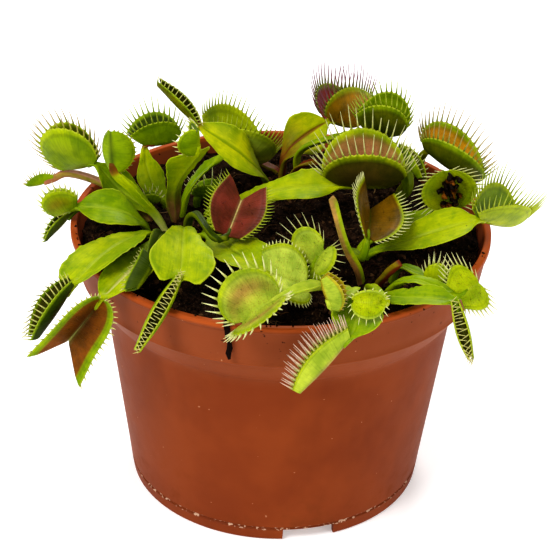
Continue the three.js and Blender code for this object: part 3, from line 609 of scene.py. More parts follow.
# foot is where a leaf leaves the peat, route the points its rib runs through after that, and widths the
# blade's widths from foot to end. A trap's hinge runs from the last point of the route to tip, and its two
# lobes reach depth towards mouth, gape degrees apart at the hinge.
leaves = {
    "west_broad": dict(
        foot=(-35.9, -5.1), route=((-44.7, -23, 84), (-55.3, -42, 81.6)),
        widths=(4, 12, 16, 15), notch=5, roll=15,
        trap=dict(tip=(-63.8, -45.9, 68.8), mouth=(-0.47, -0.13, 0.88),
                  depth=6.3, gape=70, cup=48, spread=(0.44, 0.6), fan=(34, 41), teeth=0.5, cross=1),
        look=dict(blade="lime", outer="deep", inner="umber", teeth="straw")),
    "west_open": dict(
        foot=(-34.6, -8.8), route=((-38.8, -30, 82.2), (-47.4, -48, 80.6)),
        widths=(4, 9, 12, 10), notch=2, roll=-5,
        trap=dict(tip=(-56.1, -46.8, 67.7), mouth=(0.01, -1, -0.01),
                  depth=8.8, gape=97, cup=-8, spread=(0.05, 1.51), fan=(75, 26), teeth=0.16),
        look=dict(blade="lime", outer="leaf", inner="rust", flush="brown", flushAt=0.2, flushWide=0.4,
                  rim="leaf", rimFrom=0.74, midrib="straw", teeth="straw")),
    "west_folded": dict(
        foot=(-31, -9.2), route=((-32.9, -24.8, 88.1), (-34.3, -36.8, 87.2), (-33.3, -41.5, 89.6)),
        widths=(4, 6, 5, 4), fold=35,
        trap=dict(tip=(-37.3, -47.3, 84.7), mouth=(-0.67, 0.61, 0.43),
                  depth=4.3, gape=26, spread=(1.23, 0.91), fan=(17, 38), teeth=0.4, cross=1),
        look=dict(blade="deep", inner="green", teeth="straw")),
    "west_heart": dict(
        foot=(-27.4, -8), route=((-26.4, -26, 91), (-26.5, -47, 88)),
        widths=(4, 4.5, 9, 18), notch=8, roll=-8,
        trap=dict(tip=(-36.2, -60.7, 74.4), mouth=(0.19, -0.65, 0.74),
                  depth=5.3, gape=29, cup=52, spread=(0.3, 0.3), fan=(38, 45), teeth=0.42, cross=1),
        look=dict(blade="lime", outer="leaf", inner="umber", teeth="straw")),
    "west_left": dict(
        foot=(-37.8, -2.7), route=((-44, -6, 85), (-58.2, -5, 85.8)),
        widths=(4, 11, 13, 10), roll=-25,
        trap=dict(tip=(-64.3, -6.2, 83.6), mouth=(-0.34, 0.33, 0.88),
                  depth=8.8, gape=62, spread=(0.41, 0.08), fan=(28, 52), teeth=0.18),
        look=dict(blade="leaf", inner="green", flush="rust", flushWide=0.24)),
    "west_wilted": dict(
        foot=(-38.5, 0.7), route=((-45.9, -1.4, 82.2), (-56.4, -0.4, 83.9), (-59.5, -2.3, 82.9)),
        widths=(3, 4, 4, 4),
        trap=dict(tip=(-66.6, -3.3, 74.7), mouth=(-0.91, -0.21, -0.36), depth=3, gape=40),
        look=dict(blade="green", outer="deep")),
    "west_high": dict(
        foot=(-33.9, 1.7), route=((-46.4, 5, 86.6), (-53.4, 3, 95.8)),
        widths=(4, 9, 11, 8), roll=-40,
        trap=dict(tip=(-62.3, 7.6, 91.4), mouth=(-0.81, 0.29, 0.52),
                  depth=15, gape=10, spread=(0.16, 0.05), fan=(56, 71), teeth=0.25),
        look=dict(blade="leaf", inner="green", flush="amber", teeth="fawn")),
    "west_edge": dict(
        foot=(-38, 3.9), route=((-49.1, 8, 85.5), (-62.4, 9, 89.4), (-66.3, 8, 88)),
        widths=(3, 3.6, 3.4, 3, 2.4),
        trap=dict(tip=(-72.5, 6, 86.6), mouth=(-0.55, 0.41, 0.72), depth=2.6, gape=44, teeth=0.6),
        look=dict(blade="rose", outer="leaf", teeth="fawn")),
    "west_keel": dict(
        foot=(-32.6, -2.6), route=((-41, -5, 90), (-47, -6, 98)),
        widths=(3, 4.5, 5, 4), fold=40,
        trap=dict(tip=(-47.9, -3.7, 109.2), mouth=(0.34, 0.85, -0.39),
                  depth=7, gape=93, cup=34, spread=(0.16, 0.05), fan=(37, 25), teeth=0.14),
        look=dict(stem="straw", blade="lime", outer="leaf", neck="rust", keel="deep", teeth="fawn")),
    "west_back": dict(
        foot=(-34, 14.4), route=((-38.6, 17, 84.5), (-40.1, 19.3, 94.1)),
        widths=(5, 9, 8, 4), roll=-25,
        trap=dict(tip=(-31.8, 21.5, 94.7), mouth=(-0.21, 0.13, 0.97),
                  depth=10.2, gape=67, cup=13, spread=(0.68, 0.39), fan=(45, 32), teeth=0.38),
        look=dict(blade="lime", outer="leaf", inner="deep", rim="leaf", neck="wine", teeth="pale")),
    "west_tall": dict(
        foot=(-30.7, 4.9), route=((-30, -3, 93), (-23.5, -13, 108.5)),
        widths=(4.5, 4.8, 5.5, 9.5, 13.5), notch=2, roll=10,
        trap=dict(tip=(-23.2, -15.7, 115.5), mouth=(-0.86, 0.18, 0.47),
                  depth=6.1, gape=77, spread=(0.27, 0.2), fan=(55, 71), teeth=0.2),
        look=dict(stem="rose", stemShare=0.5, blade="lime", outer="leaf", inner="green")),
    "west_rear": dict(
        foot=(-29, 9), route=((-26, 9.5, 86.9), (-17.8, 11, 95.4)),
        widths=(3.5, 5.5, 6),
        look=dict(blade="leaf")),
    "west_bud": dict(
        foot=(-39.8, 8.4), route=((-40, 8.9, 80.2),),
        widths=(3, 3),
        trap=dict(tip=(-36.5, 9.5, 80.6), mouth=(0, 0.2, 0.98), depth=4, gape=50),
        look=dict(blade="green", inner="leaf")),
    "west_bud_right": dict(
        foot=(-25, 15.5), route=((-24.2, 15.2, 80.2),),
        widths=(3, 3),
        trap=dict(tip=(-18, 14, 81), mouth=(0, 0.1, 0.99), depth=5.5, gape=60, teeth=0.55),
        look=dict(blade="green", inner="leaf")),
    "west_low": dict(
        foot=(-22.2, 7), route=((-18.5, 7.5, 80.5), (-14.5, 7, 80.5)),
        widths=(3, 4, 3),
        look=dict(blade="leaf")),
    "west_low_front": dict(
        foot=(-25, -10.8), route=((-25, -14, 80.5), (-24.5, -19, 80.5)),
        widths=(3, 4.5, 4),
        look=dict(blade="straw")),
    "west_low_right": dict(
        foot=(-21.6, -1.9), route=((-18, -4, 80), (-15, -8, 80)),
        widths=(3, 4, 3),
        look=dict(blade="leaf")),
    "middle_broad": dict(
        foot=(-23.2, -4.9), route=((-12, -24, 83.4), (-4.3, -41, 87)),
        widths=(4, 13, 15, 13), roll=10,
        trap=dict(tip=(5.9, -36.8, 80.8), mouth=(-0.08, -0.46, 0.88),
                  depth=10.2, gape=137, cup=-11, spread=(0.6, 0.29), fan=(21, 33), teeth=0.1),
        # the inner faces take the lightened lime, partly painted light
        look=dict(blade="lime", inner="glow")),
    "middle_long": dict(
        foot=(-21.6, 2.2), route=((-7.4, 3, 86.6), (5.7, 3.5, 90), (17.8, 4, 90.5)),
        widths=(5, 7, 8.5, 10.5), roll=30,
        trap=dict(tip=(29.9, 4.4, 90.2), mouth=(-0.05, -0.03, 1),
                  depth=17.5, gape=54, cup=24, spread=(0.47, 0.46), fan=(56, 41), teeth=0.3),
        look=dict(blade="lime", outer="umber", inner="tan", flush="rose", rim="lime")),
    "middle_red": dict(
        foot=(-26.9, -1.6), route=((-24, -11, 88), (-17.8, -23.2, 87), (-14.8, -20, 85.9)),
        widths=(3, 2.6, 2.2, 2),
        trap=dict(tip=(-11.5, -5.3, 89.4), mouth=(0, -0.87, 0.49),
                  depth=9.7, gape=108, cup=-9, spread=(0.58, 0.89), fan=(27, 29), teeth=0.2),
        look=dict(blade="deep", outer="olive", inner="heart", rim="lime", rimFrom=0.93, midrib="straw",
                  teeth="pale", toothWide=0.8)),
    "north_high": dict(
        foot=(-3.5, 26.5), route=((-12, 21, 91), (-25.3, 19, 101.8)),
        widths=(4, 10, 13, 12, 8), roll=-50,
        trap=dict(tip=(-36, 21.8, 111.9), mouth=(0.45, -0.49, 0.75),
                  depth=4.4, gape=30, cup=52, spread=(0.3, 0.6), fan=(40, 42), teeth=0.5, cross=1),
        look=dict(stem="leaf", blade="bright", midrib="leaf", outer="olive", inner="umber", neck="wine",
                  teeth="straw")),
    "north_left": dict(
        foot=(-1, 36.5), route=((-8.1, 38.7, 80.1),),
        widths=(3, 3.5, 3),
        trap=dict(tip=(-20.3, 33.5, 87.9), mouth=(0.35, 0.18, 0.92),
                  depth=17, gape=86, cup=37, spread=(0.45, 0.61), fan=(15, 38), teeth=0.2),
        look=dict(blade="wine", outer="pale", inner="lime", teeth="pale")),
    "north_red": dict(
        foot=(-0.5, 32), route=((1.2, 29, 88.5), (6.4, 30.5, 93.5), (13.5, 30, 98.6)),
        widths=(3, 3, 8, 14, 12), roll=70,
        trap=dict(tip=(20.7, 40.3, 91.9), mouth=(-0.01, 0.21, 0.98),
                  depth=15.2, gape=40, cup=52, spread=(0.29, 0.9), fan=(74, 15), teeth=0.38),
        look=dict(stem="wine", stemShare=0.9, blade="bright", midrib="wine", outer="orange", inner="red",
                  rim="leaf", teeth="plum")),
    "north_right": dict(
        foot=(5.5, 27.5), route=((5, 22.6, 92.1), (15, 20.5, 97.6), (26.8, 18.9, 99.5)),
        widths=(3, 3.5, 4, 5),
        trap=dict(tip=(33.6, 15.6, 101.6), mouth=(-0.41, -0.07, 0.91),
                  depth=14.4, gape=24, cup=29, spread=(0.69, 0.25), fan=(23, 52), teeth=0.25),
        look=dict(stem="lime", blade="leaf", outer="moss", inner="leaf", rim="leaf", teeth="pale")),
    "north_strip": dict(
        foot=(2.5, 21.5), route=((4.2, 19, 88), (10, 17.5, 91.5)),
        widths=(3.5, 4.5, 4),
        look=dict(blade="wine")),
    "north_dark": dict(
        foot=(-5, 31.5), route=((-7.6, 29, 80.9), (-13.3, 29.5, 83.5)),
        widths=(3, 4.5, 4),
        look=dict(blade="wine", edge="leaf")),
    "back_frilly": dict(
        foot=(33, 17), route=((36.7, 14, 84.7), (33.8, 13.7, 97.9)),
        widths=(3, 4),
        trap=dict(tip=(38.8, 5.6, 92.8), mouth=(0.67, -0.09, 0.74),
                  depth=4, gape=67, spread=(0.38, 0.65), fan=(55, 31), teeth=0.25),
        look=dict(blade="leaf", inner="olive")),
    "back_orange": dict(
        foot=(34, 22.4), route=((39.4, 20.4, 88), (41.7, 14, 97.6)),
        widths=(3.5, 5, 4),
        trap=dict(tip=(54.9, 13.4, 89.3), mouth=(0.6, 0.06, 0.8),
                  depth=14.7, gape=91, cup=59, spread=(0.3, 0.41), fan=(55, 23), teeth=0.34),
        look=dict(blade="olive", outer="moss", inner="orange", rim="leaf", teeth="fawn")),
    "east_dead": dict(
        foot=(22.5, -9.5), route=((34.1, -1.5, 81.2), (47.5, -0.5, 87.1)),
        widths=(4, 7, 8, 5),
        trap=dict(tip=(46.1, -1.4, 98.8), mouth=(-0.02, -0.71, 0.7),
                  depth=8.6, gape=134, cup=9, spread=(0.19, 0.09), fan=(24, 40), teeth=0.4),
        look=dict(blade="leaf", outer="lime", flush="black", flushAt=0.05, flushWide=0.3, scraps=26)),
    "east_long": dict(
        foot=(24, -14), route=((34, -15, 83), (55.2, -13, 89.8)),
        widths=(4, 8, 12, 13, 11), roll=20,
        trap=dict(tip=(64.1, -2.8, 82.5), mouth=(0.12, -0.24, 0.96),
                  depth=12.1, gape=53, cup=18, spread=(0.51, 0.53), fan=(66, 31), teeth=0.42),
        look=dict(blade="lime", inner="leaf", teeth="pale")),
    "east_orange": dict(
        foot=(19, -11.5), route=((22.9, -24.8, 83.7), (23.7, -23.4, 88.9)),
        widths=(3, 2.4),
        trap=dict(tip=(24.6, -8.7, 89.6), mouth=(0.32, -0.66, 0.68),
                  depth=10.2, gape=94, cup=-1, spread=(0.41, 0.93), fan=(59, 39), teeth=0.24),
        look=dict(blade="leaf", outer="olive", inner="bronze", rim="lime", rimFrom=0.88, midrib="olive")),
    "east_arched": dict(
        foot=(31, -26.5), route=((33.2, -30, 83.6), (39.3, -36.5, 84.1)),
        widths=(3, 4, 4),
        trap=dict(tip=(43.9, -38.6, 84.7), mouth=(0, 0.37, 0.93),
                  depth=4.8, gape=30, spread=(0.26, 0.27), fan=(24, 39), teeth=0.5),
        look=dict(blade="green", outer="lime", inner="leaf")),
    "east_round": dict(
        foot=(28.8, -34.6), route=((35.8, -41, 86), (47.9, -45.2, 83.9)),
        widths=(3, 5, 5),
        trap=dict(tip=(53, -42.4, 86.2), mouth=(-0.11, -0.69, 0.72),
                  depth=7.7, gape=136, cup=5, spread=(0.64, 0.05), fan=(23, 15), teeth=0.42),
        look=dict(blade="leaf", outer="lime")),
    "east_hanging": dict(
        foot=(26, -38), route=((33.2, -47.8, 84.4), (46.2, -53, 86.1)),
        widths=(4, 7, 9, 8), roll=15,
        trap=dict(tip=(50.3, -59.3, 74), mouth=(-0.22, -0.83, 0.5),
                  depth=3.5, gape=53, cup=43, spread=(0.6, 0.28), fan=(30, 58), teeth=0.8, cross=1),
        look=dict(blade="leaf", inner="umber", teeth="straw")),
    "front_hanging": dict(
        foot=(23.2, -37.6), route=((22, -48, 82.9), (18.5, -62, 79.9)),
        widths=(3, 8, 12.5, 13), notch=2,
        trap=dict(tip=(6, -68.1, 66.7), mouth=(-0.68, 0.24, 0.7),
                  depth=5.5, gape=29, spread=(0.56, 0.41), fan=(35, 15), teeth=0.7),
        look=dict(blade="leaf", outer="pale", inner="leaf", keel="tan", teeth="blush", toothWide=1.5)),
    "east_yellow": dict(
        foot=(18, -38.2), route=((19.1, -47, 86.4), (16.4, -53, 87), (13.4, -58, 86.9)),
        widths=(2.8, 4, 5, 4.5),
        trap=dict(tip=(10.6, -58, 95.1), mouth=(0.88, -0.2, 0.25),
                  depth=5.4, gape=24, cup=20, spread=(0.5, 0.5), fan=(30, 30), teeth=0.12),
        look=dict(stem="lime", blade="pale", inner="yellow", rim="yellow", keel="orange", teeth="fawn",
                  toothWide=0.7)),
    "front_open": dict(
        foot=(13.7, -34), route=((13.6, -44.3, 84.3), (9.2, -54.2, 90.2), (0, -58, 89.2)),
        widths=(2.6, 4, 5, 5), fold=30,
        trap=dict(tip=(-9.1, -60.8, 83), mouth=(-0.27, -0.39, 0.88),
                  depth=12.4, gape=99, cup=-1, spread=(0.05, 0.09), fan=(56, 74), teeth=0.28),
        look=dict(blade="pale", outer="leaf", inner="pale", flush="tan", flushWide=0.2, toothWide=1.3)),
    "east_small": dict(
        foot=(24, -32.6), route=((25.8, -45, 84.8), (27.8, -54, 86.2), (26.7, -58, 89.1)),
        widths=(2.6, 2.4, 2.2),
        trap=dict(tip=(19.2, -58.5, 89.2), mouth=(-0.02, -1, -0.04),
                  depth=4.9, gape=132, cup=12, spread=(0.16, 0.16), fan=(58, 54), teeth=0.32),
        look=dict(blade="lime", outer="yellow", inner="lime", rim="pale")),
    "east_slender": dict(
        foot=(22.4, -28.6), route=((16.6, -42, 97.4), (12.8, -43.5, 111.3)),
        widths=(2.9, 2.8, 2), fold=14,
        look=dict(stem="rose", stemShare=0.8, blade="tan", edge="lime")),
    "middle_pair": dict(
        foot=(15.8, -28), route=((7.8, -30.7, 80.8), (9.6, -30, 83.7)),
        widths=(3, 2.8),
        trap=dict(tip=(11.9, -29.1, 87.5), mouth=(-0.48, -0.56, 0.68),
                  depth=10, gape=118, cup=-9, spread=(0.2, 0.2), fan=(32, 58), teeth=0.4),
        look=dict(blade="leaf", inner="pale", toothWide=0.7)),
    "flower_stub": dict(
        foot=(26.8, -30.6), route=((28.7, -33.5, 82.9), (32.1, -36, 88.5)),
        widths=(3, 3, 2.8),
        look=dict(blade="wine", midrib="rust")),
}


def tinted(name):
    return np.array(linear(palette[name]))


def unit(v):
    return v / np.linalg.norm(v, axis=-1, keepdims=True)


def rounded(values, t):
    # a smooth run through evenly spaced values
    values = np.asarray(values, float)
    last = len(values) - 1
    place = np.clip(t, 0, 1) * last
    i = np.minimum(np.floor(place).astype(int), last - 1)
    f = place - i
    a, b, c, d = (values[np.clip(i + k, 0, last)] for k in (-1, 0, 1, 2))
    return b + 0.5 * f * (c - a + f * (2 * a - 5 * b + 4 * c - d + f * (3 * (b - c) + d - a)))


def turned(v, axis, angle):
    # each row of v turned about the same row of axis
    c, s = np.cos(angle)[:, None], np.sin(angle)[:, None]
    along = np.sum(v * axis, -1, keepdims=True)
    return v * c + np.cross(axis, v) * s + axis * along * (1 - c)


class Rib:
    # a smooth line through points, read by its share of the whole length
    def __init__(self, points):
        p = [np.array(q, float) for q in points]
        ends = [2 * p[0] - p[1], *p, 2 * p[-1] - p[-2]]
        line = [p[0]]
        for a, b, c, d in zip(ends, ends[1:], ends[2:], ends[3:]):
            near, step, far = (np.linalg.norm(q) ** 0.5 for q in (b - a, c - b, d - c))
            out = ((b - a) / near - (c - a) / (near + step) + (c - b) / step) * step
            back = ((c - b) / step - (d - b) / (step + far) + (d - c) / far) * step
            for k in range(1, 61):
                s = k / 60
                line.append(b + out * s + (3 * (c - b) - 2 * out - back) * s * s
                            + (2 * (b - c) + out + back) * s ** 3)
        self.line = np.array(line)
        share = np.cumsum(np.linalg.norm(np.diff(self.line, axis=0), axis=1))
        self.length = share[-1]
        self.share = np.concatenate(([0], share / self.length))

    def at(self, t):
        return np.stack([np.interp(t, self.share, self.line[:, k]) for k in range(3)], -1)

    def heading(self, t):
        return unit(self.at(np.minimum(t + 0.004, 1)) - self.at(np.maximum(t - 0.004, 0)))


class Mesh:
    # what one leaf is made of, gathered before it becomes a Blender mesh
    def __init__(self):
        self.places, self.faces, self.materials, self.count = [], [], [], 0
        self.layers = {"tint": [], "ribTint": [], "margin": [], "inner": [], "uv": []}

    def add(self, places, faces, material, **layers):
        places = np.asarray(places, float).reshape(-1, 3)
        amount = len(places)
        self.places.append(places)
        self.faces += [[k + self.count for k in face] for face in faces]
        self.materials += [material] * len(faces)
        for name, width in (("tint", 3), ("ribTint", 3), ("margin", 1), ("inner", 1), ("uv", 2)):
            value = np.asarray(layers.get(name, 0.0), float)
            self.layers[name].append(np.broadcast_to(value, (amount, width))
                                     if value.ndim < 2 else value.reshape(amount, width))
        self.count += amount

    def finish(self, name, finishes):
        mesh = bpy.data.meshes.new(name)
        where = np.concatenate(self.places) * 0.001 + np.array(potAxis)
        mesh.from_pydata(where.tolist(), [], self.faces)
        for layer in ("tint", "ribTint"):
            colour = np.concatenate(self.layers[layer])
            made = mesh.attributes.new(layer, "FLOAT_COLOR", "POINT")
            made.data.foreach_set("color", np.hstack([colour, np.ones((len(colour), 1))]).ravel())
        for layer in ("margin", "inner"):
            made = mesh.attributes.new(layer, "FLOAT", "POINT")
            made.data.foreach_set("value", np.concatenate(self.layers[layer]).ravel())
        uv = np.concatenate(self.layers["uv"])
        corners = np.zeros(len(mesh.loops), int)
        mesh.loops.foreach_get("vertex_index", corners)
        mesh.uv_layers.new(name="leafUV").data.foreach_set("uv", uv[corners].ravel())
        for finish in finishes:
            mesh.materials.append(finish)
        mesh.polygons.foreach_set("material_index", self.materials)
        mesh.polygons.foreach_set("use_smooth", [True] * len(mesh.polygons))
        obj = bpy.data.objects.new(name, mesh)
        bpy.context.collection.objects.link(obj)
        return obj


def closedSheet(top, bottom):
    # top and bottom share their first and last column, so each row is one closed loop
    rows, wide = top.shape[:2]
    loop = np.concatenate([top, bottom[:, -2:0:-1]], axis=1)
    across = loop.shape[1]
    index = np.arange(rows * across).reshape(rows, across)
    ahead = np.roll(index, -1, axis=1)
    quads = np.stack([index[:-1], ahead[:-1], ahead[1:], index[1:]], -1).reshape(-1, 4).tolist()
    under = [0] + [across - j for j in range(1, wide - 1)] + [wide - 1]
    for row, forward in ((0, False), (rows - 1, True)):
        for j in range(wide - 1):
            cap = [j, j + 1, under[j + 1], under[j]]
            cap = [index[row, k] for n, k in enumerate(cap) if k not in cap[:n]]
            quads.append([int(k) for k in (cap if forward else reversed(cap))])
    return loop, quads


def loopLayer(values):
    # a layer known on rows x columns, laid round the loop of a closed sheet
    return np.concatenate([values, values[:, -2:0:-1]], axis=1)


def makePetiole(mesh, leaf, look, rng):
    widths, trap = leaf["widths"], leaf.get("trap")
    roll, fold, notch = leaf.get("roll", 0), leaf.get("fold", leafShape["fold"]), leaf.get("notch", 0)
    x, y = leaf["foot"]
    route = [(x, y, peat["top"] - leafShape["footDepth"]), (x, y, peat["top"] + 0.5), *leaf["route"]]
    neck = np.array(route[-1], float)
    if trap:
        route.append(neck + unit(np.array(trap["tip"]) - neck) * leafShape["into"])
    rib = Rib(route)
    bladeStart = leafShape["footDepth"] / rib.length
    bladeEnd = 1 - leafShape["into"] / rib.length if trap else 1
    across = unit(np.cross(neck - np.array(route[0]), (0, 0, 1)))
    rows = int(np.clip(rib.length / leafShape["rowLength"], 20, 84))
    columns = leafShape["blade"] if max(widths) > 6 else 16
    t = np.linspace(0, 1, rows + 1)
    if not trap:
        t = 1 - (1 - t) ** 1.35                  # closer rows at a free tip
    along = (t - bladeStart) / (bladeEnd - bladeStart)
    tangent = rib.heading(t)
    side = unit(across - tangent * (tangent @ across)[:, None])
    side = turned(side, tangent, np.radians(roll) * ease(along * 1.3))
    normal = np.cross(side, tangent)
    spread = np.linspace(-1, 1, columns + 1)
    w = spread - 0.6 / (2 * math.pi) * np.sin(2 * math.pi * spread)
    half = rounded([leafShape["footWidth"], *widths, leafShape["footWidth"]], along) / 2
    if trap:
        half = half * (1 - leafShape["neckPinch"] * ease((along - 0.9) / 0.08))
    else:
        tipLength = max(widths[-1] * 0.8, leafShape["tipLeast"]) / rib.length
        half = half * np.sqrt(np.clip(1 - np.clip((t - 1 + tipLength) / tipLength, 0, 1) ** 2, 0.004, 1))

    seed = rng.uniform(0, 50)
    rough = np.array([[noise.noise((seed + 9 * a, 3.0 * s, 0.7)) for s in (-1, 1)] for a in along])
    fine = np.array([[noise.noise((seed + 26 * a, 5.0 * s, 4.1)) for s in (-1, 1)] for a in along])
    pick = (w > 0).astype(int)
    big = np.minimum(1, half / 4)[:, None]
    uneven = leafShape["roughEdge"] * rough[:, pick] + leafShape["fineEdge"] * fine[:, pick]
    halfWide = half[:, None] * (1 + uneven * np.abs(w) ** 3 * big)
    lean = np.radians(fold) * ease(along * 3)[:, None]
    out = along[:, None]
    ripple = leafShape["wave"] * w ** 2 * np.sin(out * 9 + np.where(w > 0, 1.1, 0)) * ease(out * 2)
    ripple = ripple + leafShape["frill"] * np.abs(w) ** 3 * fine[:, pick] * 2.0 * ease(out * 2)
    past = notch * w ** 2 * ease((out - 0.5) * 2.2)
    middle = rib.at(t)[:, None] + side[:, None] * (w * halfWide * np.cos(lean))[..., None]
    middle = middle + normal[:, None] * (np.abs(w) * halfWide * np.sin(lean) + ripple * big)[..., None]
    middle = middle + tangent[:, None] * (past * np.minimum(1, half / 5)[:, None])[..., None]

    reach = np.abs(w) * halfWide
    taper = np.sqrt(1 - np.abs(w) ** 6)
    broad = ease(half - 1.4)[:, None]
    lamina = leafShape["lamina"] + (leafShape["stemHalf"] - leafShape["lamina"]) * (1 - broad)
    groove = leafShape["groove"] * np.exp(-(reach / leafShape["grooveWide"]) ** 2) * broad
    upper = lamina + leafShape["swell"] * np.exp(-(reach / leafShape["swellWide"]) ** 2) - groove
    lower = lamina + leafShape["rib"] * np.exp(-(reach / leafShape["ribWide"]) ** 2)
    top = middle + normal[:, None] * (upper * taper)[..., None]
    bottom = middle - normal[:, None] * (lower * taper)[..., None]
    loop, faces = closedSheet(top, bottom)

    stem, blade, edge = tinted(look["stem"]), tinted(look["blade"]), tinted(look["edge"])
    colour = stem + (blade - stem) * ease(np.clip(out, 0, 1) * 1.28 / look["stemShare"] - 0.3)[..., None]
    colour = colour + (edge - colour) * (ease((np.abs(w) - 0.62) / 0.3)[None, :, None] * look["edgeShare"])
    neckTint = tinted(look["neck"])
    colour = colour + (neckTint - colour) * ease((out - 0.93) / 0.07)[..., None]
    colour = np.broadcast_to(colour, middle.shape)
    uv = np.stack([w * halfWide * 0.1, np.broadcast_to(t[:, None], halfWide.shape) * rib.length * 0.1], -1)
    margin = np.broadcast_to(np.abs(w) * broad, halfWide.shape)
    ribShare = look["ribShare"] * np.broadcast_to(broad, halfWide.shape)
    mesh.add(loop, faces, 0, tint=loopLayer(colour), ribTint=tinted(look["midrib"]),
             inner=loopLayer(ribShare), margin=loopLayer(margin), uv=loopLayer(uv + seed))


def cone(points, radii, sides=5):
    points = np.asarray(points, float)
    ahead = unit(np.gradient(points, axis=0))
    side = unit(np.cross(ahead, (0.31, 0.17, 0.93)))
    other = np.cross(side, ahead)
    a = np.arange(sides) * 2 * math.pi / sides
    ring = np.cos(a)[None, :, None] * side[:, None] + np.sin(a)[None, :, None] * other[:, None]
    loop = points[:, None] + ring * np.asarray(radii)[:, None, None]
    index = np.arange(loop.shape[0] * sides).reshape(-1, sides)
    turn = np.roll(index, -1, axis=1)
    faces = np.stack([index[:-1], index[1:], turn[1:], turn[:-1]], -1).reshape(-1, 4).tolist()
    faces += [index[0].tolist(), index[-1, ::-1].tolist()]
    return loop.reshape(-1, 3), faces


def makeTrap(mesh, leaf, look, rng):
    trap = leaf["trap"]
    depth, gape = trap["depth"], trap["gape"]
    cup = trap.get("cup", trapShape["cup"])
    teeth = trap.get("teeth", trapShape["toothLength"])
    first, last = trap.get("spread", trapShape["spread"])
    start = np.array(leaf["route"][-1], float)
    hinge = np.array(trap["tip"], float) - start
    length = np.linalg.norm(hinge)
    hinge = hinge / length
    mouth = np.array(trap["mouth"], float)
    mouth = unit(mouth - hinge * (mouth @ hinge))
    flank = np.cross(hinge, mouth)
    count = int(np.clip(round((length + 1.2 * depth) / trapShape["pitch"]), 8, 20))
    rows = 4 * count
    t = np.linspace(0, 1, rows + 1)
    swell = np.sin(np.pi * t)
    before, after = np.radians(trap.get("fan", trapShape["fan"]))
    fan = t * (before + after) - before
    reach = depth * (swell + (1 - swell) * (first + (last - first) * t))
    u = np.linspace(0, 1, trapShape["columns"])
    w = 1 - (1 - u) ** 1.35

    def opening(at):
        # the lobe's angle off the middle plane, on each row, at these shares of the way to the margin
        curl = trapShape["curl"] * ((2 * t - 1) ** 2)[:, None] * at[None, :]
        angle = gape / 2 + cup * (1 - 2 * at)[None, :] - curl
        return np.radians(angle + trapShape["flange"] * ease((at - trapShape["flangeFrom"]) / 0.1)[None, :])

    between = (w[1:] + w[:-1]) / 2
    angle = opening(between)
    scale = (reach * np.cos(fan))[:, None]
    atHinge = np.zeros((rows + 1, 1))
    inward, sideways = (np.concatenate([atHinge, np.cumsum(step * np.diff(w), 1)], 1) * scale
                        for step in (np.cos(angle), np.sin(angle)))
    sideways = np.hypot(sideways, trapShape["hingeHalf"] * np.minimum(1, w * 3))
    lobes, normals = {}, {}
    shifts = {-1: 0.75, 1: 0.25}                 # one lobe's teeth stand between the other's
    for sign, shift in shifts.items():
        scallop = trapShape["scallop"] * (0.5 - 0.5 * np.cos(2 * np.pi * (count * t - shift)))
        dip = 1 - scallop[:, None] * ease((w - 0.75) / 0.25)
        place = start + hinge * (length * t)[:, None, None]
        place = place + hinge * (reach[:, None] * w * np.sin(fan)[:, None] * dip)[..., None]
        lobes[sign] = place + mouth * (inward * dip)[..., None] + flank * (sign * sideways)[..., None]
        lean = opening(w)
        normals[sign] = mouth * np.sin(lean)[..., None] - flank * (sign * np.cos(lean))[..., None]
        normals[sign][:, 0] = mouth
    middle = np.concatenate([lobes[-1][:, :0:-1], lobes[1]], 1)
    normal = np.concatenate([normals[-1][:, :0:-1], normals[1]], 1)
    across = np.concatenate([w[:0:-1], w])
    side = np.concatenate([-w[:0:-1], w])
    swollen = trapShape["lamina"] + (trapShape["keel"] - trapShape["lamina"]) * swell
    thick = swollen[:, None] + (trapShape["lamina"] - swollen)[:, None] * np.minimum(1, across * 3)
    thick = thick * np.sqrt(1 - across ** 12)
    lip = trapShape["lip"] * np.exp(-((across - trapShape["lipAt"]) / trapShape["lipWide"]) ** 2) * depth / 9
    top = middle + normal * (thick - lip)[..., None]
    bottom = middle - normal * thick[..., None]
    loop, faces = closedSheet(top, bottom)

    outer, inner = tinted(look["outer"]), tinted(look["inner"])
    rim, flush, keel = tinted(look["rim"]), tinted(look["flush"]), tinted(look["keel"])
    edge = ease((across - look["rimFrom"]) / 0.1)[None, :, None]
    heart = np.exp(-((across - look["flushAt"]) / look["flushWide"]) ** 2)[None, :]
    heart = heart * np.exp(-((t - 0.5) / 0.33) ** 2)[:, None]
    heart = np.clip(heart * look["flushShare"], 0, 1)[..., None]
    outside = outer + (flush - outer) * heart * look["flushOuter"]
    outside = outside + (keel - outside) * np.exp(-(across / 0.1) ** 2)[None, :, None] * 0.8
    outside = outside + (rim - outside) * edge * 0.8
    within = inner + (flush - inner) * heart
    midrib = tinted(look["midrib"])
    within = within + (midrib - within) * (np.exp(-(across / 0.07) ** 2)[None, :, None] * look["ribShare"])
    within = within + (rim - within) * edge
    colour = np.concatenate([within + 0 * middle, (outside + 0 * middle)[:, -2:0:-1]], 1)
    inside = np.concatenate([np.ones(middle.shape[:2]), np.zeros(middle.shape[:2])[:, -2:0:-1]], 1)
    # the margin itself takes the rim's tint from both sides
    inside[:, 0] = inside[:, len(across) - 1] = 0.5
    uv = np.stack([np.broadcast_to(side * depth * 0.1, middle.shape[:2]),
                   np.broadcast_to((t * (length + 1.2 * depth) * 0.1)[:, None], middle.shape[:2])], -1)
    seed = rng.uniform(0, 50)
    mesh.add(loop, faces, 1, tint=colour, ribTint=tinted(look["midrib"]), inner=inside,
             margin=loopLayer(np.broadcast_to(across, middle.shape[:2])), uv=loopLayer(uv + seed))

